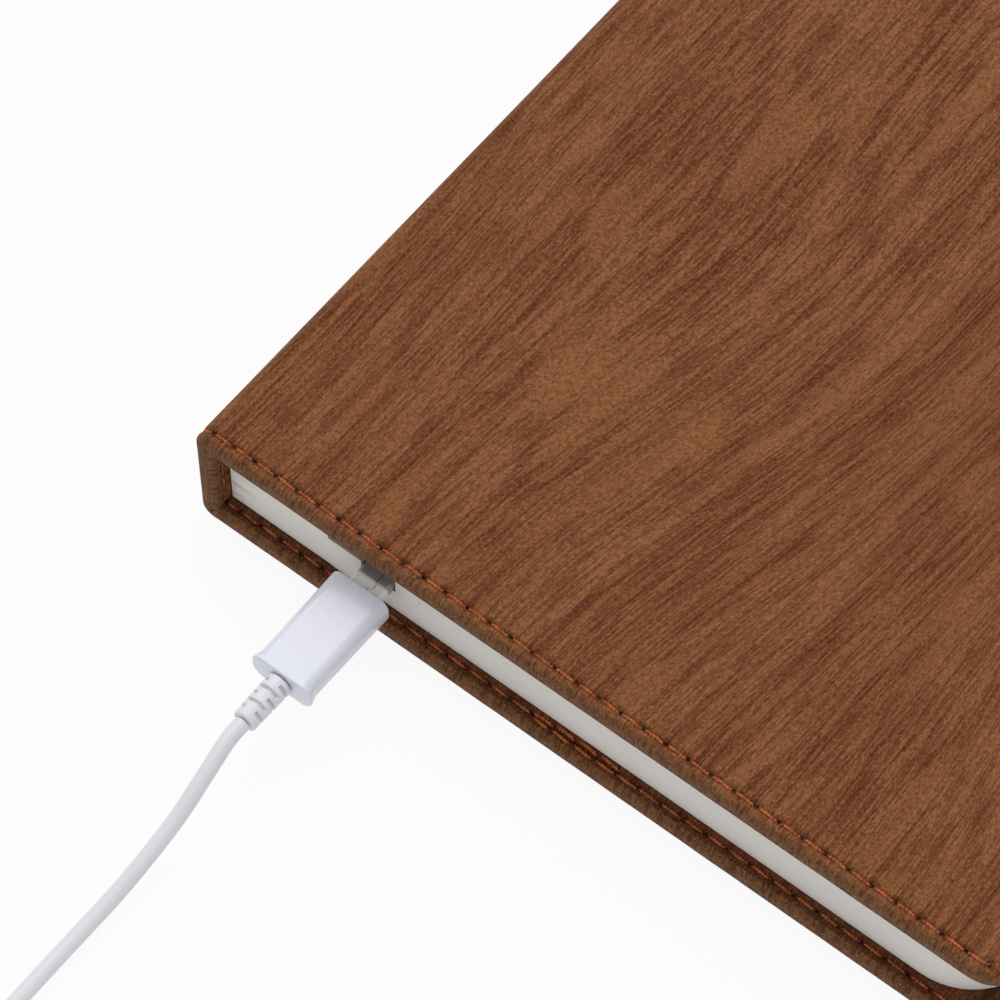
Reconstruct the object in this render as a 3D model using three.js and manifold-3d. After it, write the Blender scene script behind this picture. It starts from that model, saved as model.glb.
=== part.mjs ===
// Folding book lamp: a book-shaped case that hinges at both long edges of its spine, a fan of page
// leaves round a half-round light core on the spine, and the charging cable plugged in at the lower end.
// Book frame: x from the outer face of the spine to the fore edge, y along the spine from the port end,
// z up from the outer face of the back cover. The last lines centre that frame on the object's base.
import * as THREE from "three";
import { mergeVertices } from "three/addons/utils/BufferGeometryUtils.js";
import Module from "manifold-3d";

// Closed case
const bookWidth = 170;
const bookHeight = 215;
const bookThickness = 25.8;
const foreCornerRadius = 8;
const edgeRound = 1.1;

// Layers of covers and spine, outside to inside
const skinThickness = 0.8;
const boardThickness = 2.6;
const liningThickness = 0.8;

// Hinges: a leather roll along each long edge of the spine
const hingeInset = 1;
const hingeRollRadius = 2.1;
const hingeOuterRadius = 3;
const mitreGap = 0.3;

// Clearances
const fitGap = 0.3;
const overrun = 1;

// Page block
const pageMargin = 3.8;
const pageCornerRadius = 14;
const leafCount = 16;
const leafGap = 0.3;
const leafCoreGap = 0.5;

// Light core on the spine: a tray, a half-elliptic diffuser in front of it and a cap at each end
const coreWall = 1.2;
const carrierInset = 6;
const diffuserReach = 20;
const capThickness = 2;

// Round lithium cells in the tray
const cellRadius = 7;
const cellLength = 50;
const cellFrontGap = 0.4;
const cellNubHeight = 1;
const cellCount = 2;

// Charging port
const portOffset = 10.8;
const portZ = 11.7;
const portSlotWidth = 7.6;
const portSlotBelow = 1.3;
const portSlotAbove = 4;
const chargeBoardLength = 21.4;
const shelfReach = 4;

// Micro plug and its cable
const shellWidth = 6.85;
const shellHeight = 1.85;
const shellLength = 8.2;
const plugFrontY = -0.6;
const plugWidth = 11.9;
const plugHeight = 6;
const plugLength = 21.7;
const cordDiameter = 3;
const reliefLength = 9.5;

// Fineness of round shapes
const arcSteps = 8;
const roundSides = 24;

// Worked out from the sizes above
const coverThickness = skinThickness + boardThickness + liningThickness;
const midZ = bookThickness / 2;
const panelStart = hingeInset + hingeRollRadius + fitGap;
const mitreShift = mitreGap * Math.SQRT1_2;
const stackHalf = midZ - coverThickness;
const coreStart = coverThickness + fitGap;
const coreHalf = stackHalf - fitGap;
const trayDepth = coreWall + fitGap + 2 * cellRadius + cellFrontGap + carrierInset;
const diffuserStart = coreStart + trayDepth + fitGap;
const portX = diffuserStart + portOffset;
const pageFore = bookWidth - pageMargin;
const pageLow = pageMargin;
const pageHigh = bookHeight - pageMargin;
const trayLow = pageLow + capThickness + fitGap;
const trayHigh = pageHigh - capThickness - fitGap;
const chargeBoardLow = trayLow;
const chargeBoardHigh = chargeBoardLow + chargeBoardLength;
const cellLow = chargeBoardHigh + shelfReach;
const cellPitch = cellLength + cellNubHeight + fitGap;

const wasm = await Module();
wasm.setup();

// Solids and meshes

function toSolid(geometry) {
  geometry.deleteAttribute("normal");
  geometry.deleteAttribute("uv");
  const merged = mergeVertices(geometry, 1e-4);
  const vertProperties = merged.getAttribute("position").array;
  const triVerts = new Uint32Array(merged.index.array);
  return new wasm.Manifold(new wasm.Mesh({ numProp: 3, vertProperties, triVerts }));
}

function toGeometry(solid) {
  const cut = solid.getMesh();
  const geometry = new THREE.BufferGeometry();
  geometry.setAttribute("position", new THREE.BufferAttribute(cut.vertProperties, 3));
  geometry.setIndex(new THREE.BufferAttribute(cut.triVerts, 1));
  return geometry;
}

function finish(colour, roughness, metalness = 0) {
  return new THREE.MeshStandardMaterial({ color: colour, roughness, metalness });
}

const finishes = {
  leather: finish(0x794d33, 0.55),
  lining: finish(0x5a3c26, 0.6),
  board: finish(0x9a9080, 0.9),
  magnet: finish(0xb8bcc0, 0.25, 1),
  page: finish(0xd8d4cc, 0.85),
  whitePlastic: finish(0xe6e4de, 0.5),
  diffuser: finish(0xf2efe6, 0.4),
  circuit: finish(0x2f6a3a, 0.5),
  ledStrip: finish(0xf0f0ea, 0.4),
  cell: finish(0x3a62a8, 0.45),
  steel: finish(0xc9ccd2, 0.25, 1),
  blackPlastic: finish(0x222222, 0.5),
  redLead: finish(0xb02020, 0.5),
  blackLead: finish(0x1c1c1c, 0.5),
  plugWhite: finish(0xe4e5f2, 0.3),
};

function piece(name, shape, material) {
  const geometry = shape.isBufferGeometry ? shape : toGeometry(shape);
  const mesh = new THREE.Mesh(geometry, material);
  mesh.name = name;
  return mesh;
}

function box(x0, x1, y0, y1, z0, z1) {
  const geometry = new THREE.BoxGeometry(x1 - x0, y1 - y0, z1 - z0);
  return geometry.translate((x0 + x1) / 2, (y0 + y1) / 2, (z0 + z1) / 2);
}

// An outline in the plan, raised from z0 to z1
function plate(shape, z0, z1) {
  const options = { depth: z1 - z0, bevelEnabled: false, curveSegments: arcSteps };
  return new THREE.ExtrudeGeometry(shape, options).translate(0, 0, z0);
}

// A section in x and z, run along the spine from y0 to y1
function run(shape, y0, y1, steps = 1) {
  const options = { depth: y1 - y0, bevelEnabled: false, curveSegments: arcSteps, steps };
  return new THREE.ExtrudeGeometry(shape, options).rotateX(Math.PI / 2).translate(0, y1, 0);
}

function polygon(points) {
  return new THREE.Shape(points.map(([x, y]) => new THREE.Vector2(x, y)));
}

function rectangle(x0, x1, z0, z1) {
  return polygon([[x0, z0], [x1, z0], [x1, z1], [x0, z1]]);
}

function disc(x, z, radius) {
  const shape = new THREE.Shape();
  shape.absarc(x, z, radius, 0, 2 * Math.PI);
  return shape;
}

function roundedRectangle(x0, x1, z0, z1, radius) {
  const shape = new THREE.Shape();
  shape.absarc(x1 - radius, z0 + radius, radius, -Math.PI / 2, 0);
  shape.absarc(x1 - radius, z1 - radius, radius, 0, Math.PI / 2);
  shape.absarc(x0 + radius, z1 - radius, radius, Math.PI / 2, Math.PI);
  shape.absarc(x0 + radius, z0 + radius, radius, Math.PI, 1.5 * Math.PI);
  shape.closePath();
  return shape;
}

// A turned shape: profile pairs of radius and height, set on its axis with its foot at a place
function turned(profile, axis, x, y, z, sides = roundSides) {
  const points = profile.map(([r, h]) => new THREE.Vector2(r, h));
  const geometry = new THREE.LatheGeometry(points, sides);
  if (axis === "x") geometry.rotateZ(-Math.PI / 2);
  if (axis === "z") geometry.rotateX(Math.PI / 2);
  if (axis === "-y") geometry.rotateX(Math.PI);
  return geometry.translate(x, y, z);
}

function bar(radius, length) {
  return [[0, 0], [radius, 0], [radius, length], [0, length]];
}

// Plan outline of a cover or a leaf: square at the spine side, round corners at the fore edge
function bookOutline(xStart, xEnd, yLow, yHigh, radius) {
  const shape = new THREE.Shape();
  shape.moveTo(xStart, yLow);
  shape.lineTo(xEnd - radius, yLow);
  shape.absarc(xEnd - radius, yLow + radius, radius, -Math.PI / 2, 0);
  shape.absarc(xEnd - radius, yHigh - radius, radius, 0, Math.PI / 2);
  shape.lineTo(xStart, yHigh);
  shape.closePath();
  return shape;
}

function coverOutline(inset) {
  const radius = foreCornerRadius - inset;
  return bookOutline(0, bookWidth - inset, inset, bookHeight - inset, radius);
}

// Magnets that hold the covers together, and the one that works the light's switch
const magnetRadius = 5;
const magnetForeInset = 12;
const magnetPlaceShares = [0.2, 0.8];
const switchMagnetRadius = 3;
const switchX = 17;
const switchBeyondCells = 25.5;
const switchY = cellLow + cellCount * cellPitch + switchBeyondCells;
const boardUnder = bookThickness - skinThickness - boardThickness;
const boardTop = bookThickness - skinThickness;

const foreMagnets = magnetPlaceShares.map((share) => ({
  x: bookWidth - magnetForeInset,
  y: bookHeight * share,
  radius: magnetRadius,
}));
const switchMagnet = { x: switchX, y: switchY, radius: switchMagnetRadius };

function magnetHole(place) {
  const hole = bar(place.radius + fitGap, boardThickness + 2 * overrun);
  return toSolid(turned(hole, "z", place.x, place.y, boardUnder - overrun));
}

function magnet(name, place) {
  const body = turned(bar(place.radius, boardThickness - fitGap), "z", place.x, place.y, boardUnder + fitGap);
  return piece(name, body, finishes.magnet);
}

// One cover, drawn as the front one: skin rolled over three edges, board, lining and magnets.
// The trim leaves the hinge's edge square at the roll and mitred towards the spine panel.
function cover(prefix, magnets) {
  const low = bookThickness - coverThickness;
  const trimShape = polygon([
    [panelStart, bookThickness + mitreShift - panelStart],
    [coverThickness + mitreShift, low],
    [bookWidth + overrun, low],
    [bookWidth + overrun, bookThickness + overrun],
    [panelStart, bookThickness + overrun],
  ]);
  const trim = toSolid(run(trimShape, -overrun, bookHeight + overrun));
  const bevel = { bevelThickness: edgeRound, bevelSize: edgeRound, bevelSegments: 3 };
  const options = { ...bevel, depth: coverThickness, curveSegments: arcSteps };
  const blank = new THREE.ExtrudeGeometry(coverOutline(edgeRound), options);
  blank.translate(0, 0, bookThickness - edgeRound - coverThickness);
  const pocket = plate(coverOutline(skinThickness), low - overrun, boardTop);
  const skin = toSolid(blank).subtract(toSolid(pocket)).intersect(trim);
  const inner = coverOutline(skinThickness + fitGap);
  let board = toSolid(plate(inner, boardUnder, boardTop)).intersect(trim);
  magnets.forEach((place) => {
    board = board.subtract(magnetHole(place));
  });
  const lining = toSolid(plate(inner, low, boardUnder)).intersect(trim);
  const group = new THREE.Group();
  group.add(piece(prefix + "_skin", skin, finishes.leather));
  group.add(piece(prefix + "_board", board, finishes.board));
  group.add(piece(prefix + "_lining", lining, finishes.lining));
  foreMagnets.forEach((place, index) => {
    group.add(magnet(prefix + "_magnet_0" + (index + 1), place));
  });
  return group;
}

function frontCover() {
  const group = cover("front_cover", [...foreMagnets, switchMagnet]);
  group.add(magnet("switch_magnet", switchMagnet));
  return group;
}

function backCover() {
  const group = cover("back_cover", foreMagnets);
  group.scale.z = -1;
  group.position.z = bookThickness;
  return group;
}

// Screws that hold the tray to the spine board
const screwShankRadius = 0.9;
const screwHeadRadius = 1.9;
const screwHeadHeight = 0.8;
const screwPlaceShares = [0.1, 0.86];
const screwRows = screwPlaceShares.map((share) => bookHeight * share);
const screwShankEnd = skinThickness + fitGap;
const screwSeat = coreStart + coreWall;

function screwHole(y) {
  const length = screwSeat + overrun - screwShankEnd + fitGap;
  return toSolid(turned(bar(screwShankRadius + fitGap, length), "x", skinThickness, y, midZ));
}

// Spine panel: skin with a rim at each end, board and lining, mitred towards both covers
function spinePanel() {
  const reach = coverThickness + overrun;
  const trimShape = polygon([
    [-overrun, panelStart],
    [panelStart - mitreShift, panelStart],
    [reach, reach + mitreShift],
    [reach, bookThickness - reach - mitreShift],
    [panelStart - mitreShift, bookThickness - panelStart],
    [-overrun, bookThickness - panelStart],
  ]);
  const trim = toSolid(run(trimShape, -overrun, bookHeight + overrun));
  const skinShape = new THREE.Shape();
  skinShape.moveTo(coverThickness, skinThickness);
  skinShape.lineTo(skinThickness, skinThickness);
  skinShape.lineTo(skinThickness, bookHeight - skinThickness);
  skinShape.lineTo(coverThickness, bookHeight - skinThickness);
  skinShape.lineTo(coverThickness, bookHeight);
  skinShape.absarc(edgeRound, bookHeight - edgeRound, edgeRound, Math.PI / 2, Math.PI);
  skinShape.absarc(edgeRound, edgeRound, edgeRound, Math.PI, 1.5 * Math.PI);
  skinShape.lineTo(coverThickness, 0);
  skinShape.closePath();
  const inner = skinThickness + fitGap;
  const boardEnd = skinThickness + boardThickness;
  const boardShape = rectangle(skinThickness, boardEnd, inner, bookHeight - inner);
  const liningShape = rectangle(boardEnd, coverThickness, inner, bookHeight - inner);
  const skin = toSolid(plate(skinShape, 0, bookThickness)).intersect(trim);
  let board = toSolid(plate(boardShape, 0, bookThickness)).intersect(trim);
  let lining = toSolid(plate(liningShape, 0, bookThickness)).intersect(trim);
  screwRows.forEach((y) => {
    board = board.subtract(screwHole(y));
    lining = lining.subtract(screwHole(y));
  });
  return [
    piece("spine_skin", skin, finishes.leather),
    piece("spine_board", board, finishes.board),
    piece("spine_lining", lining, finishes.lining),
  ];
}

// The roll of leather on a hinge line: round towards the pivot, with the case's outer corner
function hingeRoll(name, upper) {
  const round = roundedRectangle(0, bookThickness, 0, bookThickness, hingeOuterRadius);
  const caseCorner = toSolid(run(round, 0, bookHeight));
  const axisZ = upper ? bookThickness - hingeInset : hingeInset;
  const roll = toSolid(run(disc(hingeInset, axisZ, hingeRollRadius), 0, bookHeight));
  return piece(name, roll.intersect(caseCorner), finishes.leather);
}

// Light core

// Where the diffuser's outer face lies at a height above or below the middle
function coreFront(offset) {
  const share = Math.min(Math.abs(offset) / coreHalf, 1);
  return diffuserStart + diffuserReach * Math.sqrt(1 - share * share);
}

function halfEllipse(shape, reach, half, turnBack) {
  const quarter = Math.PI / 2;
  const [from, to] = turnBack ? [quarter, -quarter] : [-quarter, quarter];
  shape.absellipse(diffuserStart, midZ, reach, half, from, to, turnBack);
}

function coreOutline() {
  const shape = new THREE.Shape();
  shape.moveTo(coreStart, midZ - coreHalf);
  shape.lineTo(diffuserStart, midZ - coreHalf);
  halfEllipse(shape, diffuserReach, coreHalf, false);
  shape.lineTo(coreStart, midZ + coreHalf);
  shape.closePath();
  return shape;
}

function coreTray() {
  const low = midZ - coreHalf;
  const high = midZ + coreHalf;
  const end = coreStart + trayDepth;
  const floor = coreStart + coreWall;
  const section = polygon([
    [coreStart, low],
    [end, low],
    [end, low + coreWall],
    [floor, low + coreWall],
    [floor, high - coreWall],
    [end, high - coreWall],
    [end, high],
    [coreStart, high],
  ]);
  let tray = toSolid(run(section, trayLow, trayHigh));
  screwRows.forEach((y) => {
    tray = tray.subtract(screwHole(y));
  });
  return piece("core_tray", tray, finishes.whitePlastic);
}

function coreDiffuser() {
  const section = new THREE.Shape();
  section.moveTo(diffuserStart, midZ - coreHalf);
  halfEllipse(section, diffuserReach, coreHalf, false);
  halfEllipse(section, diffuserReach - coreWall, coreHalf - coreWall, true);
  section.closePath();
  return piece("core_diffuser", run(section, trayLow, trayHigh), finishes.diffuser);
}

// A cap's plate closes the core, and its frame plugs into the tray
const capLipDepth = 3;
const capLipReach = 11;

function capBody(plateLow, lipLow) {
  const outerLow = midZ - coreHalf + coreWall + fitGap;
  const outerHigh = midZ + coreHalf - coreWall - fitGap;
  const start = coreStart + coreWall + fitGap;
  const end = start + capLipReach;
  const lip = toSolid(box(start, end, lipLow, lipLow + capLipDepth, outerLow, outerHigh));
  const hollow = box(
    start + coreWall,
    end - coreWall,
    lipLow - overrun,
    lipLow + capLipDepth + overrun,
    outerLow + coreWall,
    outerHigh - coreWall,
  );
  const plateSolid = toSolid(run(coreOutline(), plateLow, plateLow + capThickness));
  return plateSolid.add(lip.subtract(toSolid(hollow)));
}

// Charge board with the socket on it, held on a shelf of the port cap. The socket's tongue stands in
// the plug shell's hollow, behind the shell's insert.
const boardSheet = 1;
const boardInnerReach = 19.5;
const boardOuterReach = 3.5;
const socketWidth = 7.7;
const socketHeight = 2.6;
const socketDepth = 5.5;
const socketWall = 0.25;
const socketFrontWall = 0.6;
const tongueWidth = 3.7;
const tongueSheet = 0.5;
const insertDepth = 5;
const tongueFront = plugFrontY + insertDepth + 2 * fitGap;
const shelfThickness = 1;
const shelfWidth = 14;
const socketLow = portZ - socketHeight / 2;
const boardLow = socketLow - boardSheet;
const boardInner = portX - boardInnerReach;
const boardOuter = portX + boardOuterReach;
const socketFront = pageLow + socketFrontWall + fitGap;

function portCap() {
  const pocketReach = socketWidth / 2 + fitGap;
  const slotReach = portSlotWidth / 2;
  const slotLow = portZ - portSlotBelow;
  const slotHigh = portZ + portSlotAbove;
  const inside = pageLow + capThickness;
  const slot = box(
    portX - slotReach,
    portX + slotReach,
    pageLow - overrun,
    inside + overrun,
    slotLow,
    slotHigh,
  );
  const pocket = box(
    portX - pocketReach,
    portX + pocketReach,
    pageLow + socketFrontWall,
    inside + overrun,
    boardLow - fitGap,
    socketLow + socketHeight + fitGap,
  );
  const shelfHigh = boardLow - fitGap;
  const shelf = box(
    boardInner,
    boardInner + shelfWidth,
    pageLow + socketFrontWall,
    inside + shelfReach,
    shelfHigh - shelfThickness,
    shelfHigh,
  );
  let body = capBody(pageLow, inside).add(toSolid(shelf));
  body = body.subtract(toSolid(slot)).subtract(toSolid(pocket));
  return piece("core_cap_port", body, finishes.whitePlastic);
}

function topCap() {
  const low = pageHigh - capThickness;
  return piece("core_cap_top", capBody(low, low - capLipDepth), finishes.whitePlastic);
}

function chargeBoard() {
  const sheet = box(boardInner, boardOuter, chargeBoardLow, chargeBoardHigh, boardLow, socketLow);
  const chipSize = 4;
  const chipHeight = 1.2;
  const chipX = (boardInner + portX - socketWidth / 2) / 2;
  const chipY = (chargeBoardLow + chargeBoardHigh) / 2;
  const chip = box(
    chipX,
    chipX + chipSize,
    chipY,
    chipY + chipSize,
    socketLow - boardSheet / 2,
    socketLow + chipHeight,
  );
  return piece("charge_board", toSolid(sheet).add(toSolid(chip)), finishes.circuit);
}

function chargeSocket() {
  const half = socketWidth / 2;
  const high = socketLow + socketHeight;
  const back = socketFront + socketDepth;
  const shell = box(portX - half, portX + half, socketFront, back, socketLow, high);
  const mouth = box(
    portX - half + socketWall,
    portX + half - socketWall,
    socketFront - overrun,
    back - socketWall,
    socketLow + socketWall,
    high - socketWall,
  );
  const reach = tongueWidth / 2;
  const rise = tongueSheet / 2;
  const tongue = box(portX - reach, portX + reach, tongueFront, back, portZ - rise, portZ + rise);
  return piece("charge_socket", toSolid(shell).subtract(toSolid(mouth)).add(toSolid(tongue)), finishes.steel);
}

// Light-emitting strips on a carrier sheet across the tray's mouth
const carrierSheet = 1;
const carrierLow = chargeBoardHigh + fitGap;
const carrierHigh = trayHigh - capLipDepth - fitGap;
const stripWidth = 5;
const stripSheet = 0.8;
const stripOffset = 3.6;
const chipSide = 1.8;
const chipProud = 0.6;
const chipPitch = 13;
const carrierX = coreStart + trayDepth - carrierInset;

function ledCarrier() {
  const reach = coreHalf - coreWall - fitGap;
  const sheet = box(carrierX, carrierX + carrierSheet, carrierLow, carrierHigh, midZ - reach, midZ + reach);
  return piece("led_carrier", sheet, finishes.whitePlastic);
}

function ledStrip(name, offset) {
  const z = midZ + offset;
  const face = carrierX + carrierSheet;
  const low = carrierLow + fitGap;
  const high = carrierHigh - fitGap;
  let strip = toSolid(box(face, face + stripSheet, low, high, z - stripWidth / 2, z + stripWidth / 2));
  const count = Math.floor((high - low - chipSide) / chipPitch);
  const first = (low + high - (count - 1) * chipPitch) / 2;
  for (let i = 0; i < count; i += 1) {
    const y = first + i * chipPitch;
    const half = chipSide / 2;
    const chip = box(face, face + stripSheet + chipProud, y - half, y + half, z - half, z + half);
    strip = strip.add(toSolid(chip));
  }
  return piece(name, strip, finishes.ledStrip);
}

// Two round lithium cells in line in the tray, and their leads to the charge board
const cellNubRadius = 2.5;
const cellEdge = 0.8;
const cellX = coreStart + coreWall + fitGap + cellRadius;
const leadDiameter = 1.2;
const leadOffset = 3;

function batteryCell(name, index) {
  const low = cellLow + index * cellPitch;
  const profile = [
    [0, 0],
    [cellRadius - cellEdge, 0],
    [cellRadius, cellEdge],
    [cellRadius, cellLength - cellEdge],
    [cellRadius - cellEdge, cellLength],
    [cellNubRadius, cellLength],
    [cellNubRadius, cellLength + cellNubHeight],
    [0, cellLength + cellNubHeight],
  ];
  return piece(name, turned(profile, "y", cellX, low, midZ), finishes.cell);
}

function tube(points, diameter, sides, steps) {
  const path = new THREE.CatmullRomCurve3(points.map(([x, y, z]) => new THREE.Vector3(x, y, z)));
  const section = new THREE.Shape();
  for (let i = 0; i < sides; i += 1) {
    const angle = (2 * Math.PI * i) / sides;
    const x = (diameter / 2) * Math.cos(angle);
    const y = (diameter / 2) * Math.sin(angle);
    if (i) section.lineTo(x, y);
    else section.moveTo(x, y);
  }
  section.closePath();
  return new THREE.ExtrudeGeometry(section, { extrudePath: path, steps });
}

function batteryLead(name, offset, material) {
  const rise = leadDiameter / 2 + fitGap;
  const points = [
    [cellX + offset, cellLow - fitGap, midZ],
    [cellX + offset, cellLow - fitGap - leadDiameter, midZ],
    [(cellX + boardInner) / 2 + offset, chargeBoardHigh, (midZ + socketLow) / 2 + rise],
    [boardInner + leadDiameter + offset / 2, chargeBoardHigh - leadOffset, socketLow + rise],
    [boardInner + leadDiameter + offset / 2, chargeBoardHigh - 2 * leadOffset, socketLow + rise],
  ];
  return piece(name, tube(points, leadDiameter, 8, 14), material);
}

// Magnetic switch on the tray's upper wall, under the switch magnet in the front cover
const switchBodyWidth = 4;
const switchBodyLength = 6;
const switchBodyHeight = 1.6;

function hallSwitch() {
  const high = midZ + coreHalf - coreWall;
  const half = switchBodyWidth / 2;
  const reach = switchBodyLength / 2;
  const x0 = switchX - half;
  const x1 = switchX + half;
  const body = box(x0, x1, switchY - reach, switchY + reach, high - switchBodyHeight, high);
  return piece("hall_switch", body, finishes.blackPlastic);
}

function trayScrew(index) {
  const y = screwRows[index];
  const profile = [
    [0, 0],
    [screwShankRadius, 0],
    [screwShankRadius, screwSeat - screwShankEnd],
    [screwHeadRadius, screwSeat - screwShankEnd],
    [screwHeadRadius, screwSeat - screwShankEnd + screwHeadHeight],
    [0, screwSeat - screwShankEnd + screwHeadHeight],
  ];
  const screw = turned(profile, "x", screwShankEnd, y, midZ, 16);
  return piece("tray_screw_0" + (index + 1), screw, finishes.steel);
}

// Page leaves: folded sheets stacked between the covers, each ending just short of the core
function pageLeaf(index) {
  const pitch = (2 * stackHalf - leafGap) / leafCount;
  const thickness = pitch - leafGap;
  const centre = pitch * (index - (leafCount - 1) / 2);
  const nearest = Math.abs(centre) - thickness / 2;
  const xStart = coreFront(nearest) + leafCoreGap;
  const shape = bookOutline(xStart, pageFore, pageLow, pageHigh, pageCornerRadius);
  const low = midZ + centre - thickness / 2;
  const name = "page_leaf_" + String(index + 1).padStart(2, "0");
  return piece(name, plate(shape, low, low + thickness), finishes.page);
}

// Micro plug

// A shell's D-shaped section, with the two upper corners bevelled
function shellSection(width, height, bevel) {
  const half = width / 2;
  const low = portZ - height / 2;
  const high = portZ + height / 2;
  return polygon([
    [portX - half, low],
    [portX + half, low],
    [portX + half, high - bevel],
    [portX + half - bevel, high],
    [portX - half + bevel, high],
    [portX - half, high - bevel],
  ]);
}

const shellWall = 0.3;
const shellBevel = 0.6;

function plugShell() {
  const low = plugFrontY + fitGap;
  const high = plugFrontY + shellLength;
  const outer = toSolid(run(shellSection(shellWidth, shellHeight, shellBevel), low, high));
  const width = shellWidth - 2 * shellWall;
  const height = shellHeight - 2 * shellWall;
  const hollow = shellSection(width, height, shellBevel - shellWall / 2);
  const inner = run(hollow, low + insertDepth, high + overrun);
  return piece("plug_shell", outer.subtract(toSolid(inner)), finishes.steel);
}

// Moulded grip: round edges, a slight taper and a flared lip at the cord end. Its stations give a share
// of its length, and the growth to each side there.
const plugRound = 1.5;
const plugStations = [
  [0, -0.5],
  [0.01, -0.15],
  [0.025, 0],
  [0.45, -0.16],
  [0.87, -0.35],
  [0.93, -0.2],
  [0.975, 0.15],
  [1, 0.3],
];

function plugBody() {
  const halfW = plugWidth / 2;
  const halfH = plugHeight / 2;
  const steps = plugStations.length - 1;
  const section = roundedRectangle(-halfW, halfW, -halfH, halfH, plugRound);
  const geometry = run(section, -steps, 0, steps);
  const position = geometry.getAttribute("position");
  for (let i = 0; i < position.count; i += 1) {
    const [share, grow] = plugStations[Math.round(-position.getY(i))];
    const x = position.getX(i) * (1 + grow / halfW);
    const z = position.getZ(i) * (1 + grow / 2 / halfH);
    position.setXYZ(i, x, -share * plugLength, z);
  }
  return piece("plug_body", geometry.translate(portX, plugFrontY, portZ), finishes.plugWhite);
}

// Strain relief: rings on a core, with slots cut from alternate sides
const reliefRadius = 2.5;
const reliefTaper = 0.2;
const reliefCollarLength = 1.2;
const reliefSlot = 0.8;
const reliefRing = 1;
const reliefTop = plugFrontY - plugLength - fitGap;
const reliefEnd = reliefTop - reliefLength;

function strainRelief() {
  const profile = [
    [0, 0],
    [reliefRadius, 0],
    [reliefRadius - reliefTaper, reliefLength],
    [0, reliefLength],
  ];
  let relief = toSolid(turned(profile, "-y", portX, reliefTop, portZ));
  const pitch = reliefSlot + reliefRing;
  const count = Math.floor((reliefLength - 2 * reliefCollarLength) / pitch);
  const cut = reliefRadius + overrun;
  const hold = reliefRadius - cordDiameter / 2;
  for (let i = 0; i < count; i += 1) {
    const y = reliefTop - reliefCollarLength - i * pitch - reliefSlot;
    const upright = i % 2 === 0;
    [-1, 1].forEach((side) => {
      const near = side * (cordDiameter / 2 - hold / 2);
      const far = side * cut;
      const a = Math.min(near, far);
      const b = Math.max(near, far);
      const [x0, x1] = upright ? [a, b] : [-cut, cut];
      const [z0, z1] = upright ? [-cut, cut] : [a, b];
      const slot = box(portX + x0, portX + x1, y, y + reliefSlot, portZ + z0, portZ + z1);
      relief = relief.subtract(toSolid(slot));
    });
  }
  return piece("plug_strain_relief", relief, finishes.plugWhite);
}

// Cord: out of the strain relief, down to the table, straight on, and then wound into a coil
const cordRadius = cordDiameter / 2;
const coilTurnRadius = 18.9;
const coilWidth = 12.9;
const coilHeight = 6.1;
const coilCentreY = -142;
const tieWidth = 8;
const tieSheet = 0.7;
const coilLow = tieSheet + fitGap;
const coilReach = coilTurnRadius + coilWidth / 2 - cordRadius;
const coilX = portX - coilReach;
const cordRoute = [
  [portX, reliefEnd - fitGap, portZ],
  [portX, reliefEnd - cordDiameter, portZ],
  [portX + 0.2, -38, 11.3],
  [portX + 0.7, -43, 10],
  [portX + 1.2, -51, 7.3],
  [portX + 1.1, -59, 4.9],
  [portX + 0.8, -67, 3],
  [portX + 0.4, -75, 2],
  [portX + 0.2, -85, 1.6],
  [portX + 0.2, -95, 1.6],
  [portX + 0.1, -105, 1.65],
  [portX, -114, 2],
  [portX, -121, 2.5],
  [portX, -128.5, 2.8],
];
const cordSteps = 44;
const cordSides = 8;
const tailX = coilX - coilReach;
const tailRoute = [
  [tailX, -128.5, 4.7],
  [tailX, -122, 4.2],
  [tailX, -116, 3.9],
  [tailX, -110.6, 3.8],
];
const tailSteps = 6;

function chargingCord() {
  return piece("charging_cord", tube(cordRoute, cordDiameter, cordSides, cordSteps), finishes.plugWhite);
}

function cordTail() {
  return piece("cord_tail", tube(tailRoute, cordDiameter, cordSides, tailSteps), finishes.plugWhite);
}

function cordCoil() {
  const r0 = coilTurnRadius - coilWidth / 2;
  const r1 = coilTurnRadius + coilWidth / 2;
  const ring = [
    [r0 + cordRadius, 0],
    [r1 - cordRadius, 0],
    [r1, cordRadius],
    [r1, coilHeight - cordRadius],
    [r1 - cordRadius, coilHeight],
    [r0 + cordRadius, coilHeight],
    [r0, coilHeight - cordRadius],
    [r0, cordRadius],
    [r0 + cordRadius, 0],
  ];
  return piece("cord_coil", turned(ring, "z", coilX, coilCentreY, coilLow, 40), finishes.plugWhite);
}

// A band round the coil's turns at the side away from the lamp
function cordTie() {
  const half = coilWidth / 2;
  const bow = (tieWidth * tieWidth) / 8 / (coilTurnRadius - half);
  const x0 = -half - fitGap - bow;
  const x1 = half + fitGap;
  const middle = coilCentreY - coilTurnRadius;
  const band = box(
    coilX - tieWidth / 2,
    coilX + tieWidth / 2,
    middle + x0 - tieSheet,
    middle + x1 + bow + tieSheet,
    0,
    coilLow + coilHeight + fitGap + tieSheet,
  );
  const hole = box(
    coilX - tieWidth,
    coilX + tieWidth,
    middle + x0,
    middle + x1 + bow,
    tieSheet,
    coilLow + coilHeight + fitGap,
  );
  return piece("cord_tie", toSolid(band).subtract(toSolid(hole)), finishes.blackPlastic);
}

// Plug at the cord's far end
const wallPlugLow = -110.3;
const wallPlugWidth = 15.6;
const wallPlugHeight = 7.6;
const wallPlugLength = 26;
const wallPlugRound = 2.2;
const wallShellWidth = 12;
const wallShellHeight = 4.5;
const wallShellLength = 18.75;
const wallShellWall = 0.4;
const wallTongueHeight = 1.9;
const wallWindow = 2.3;
const wallWindowReach = 3;

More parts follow.
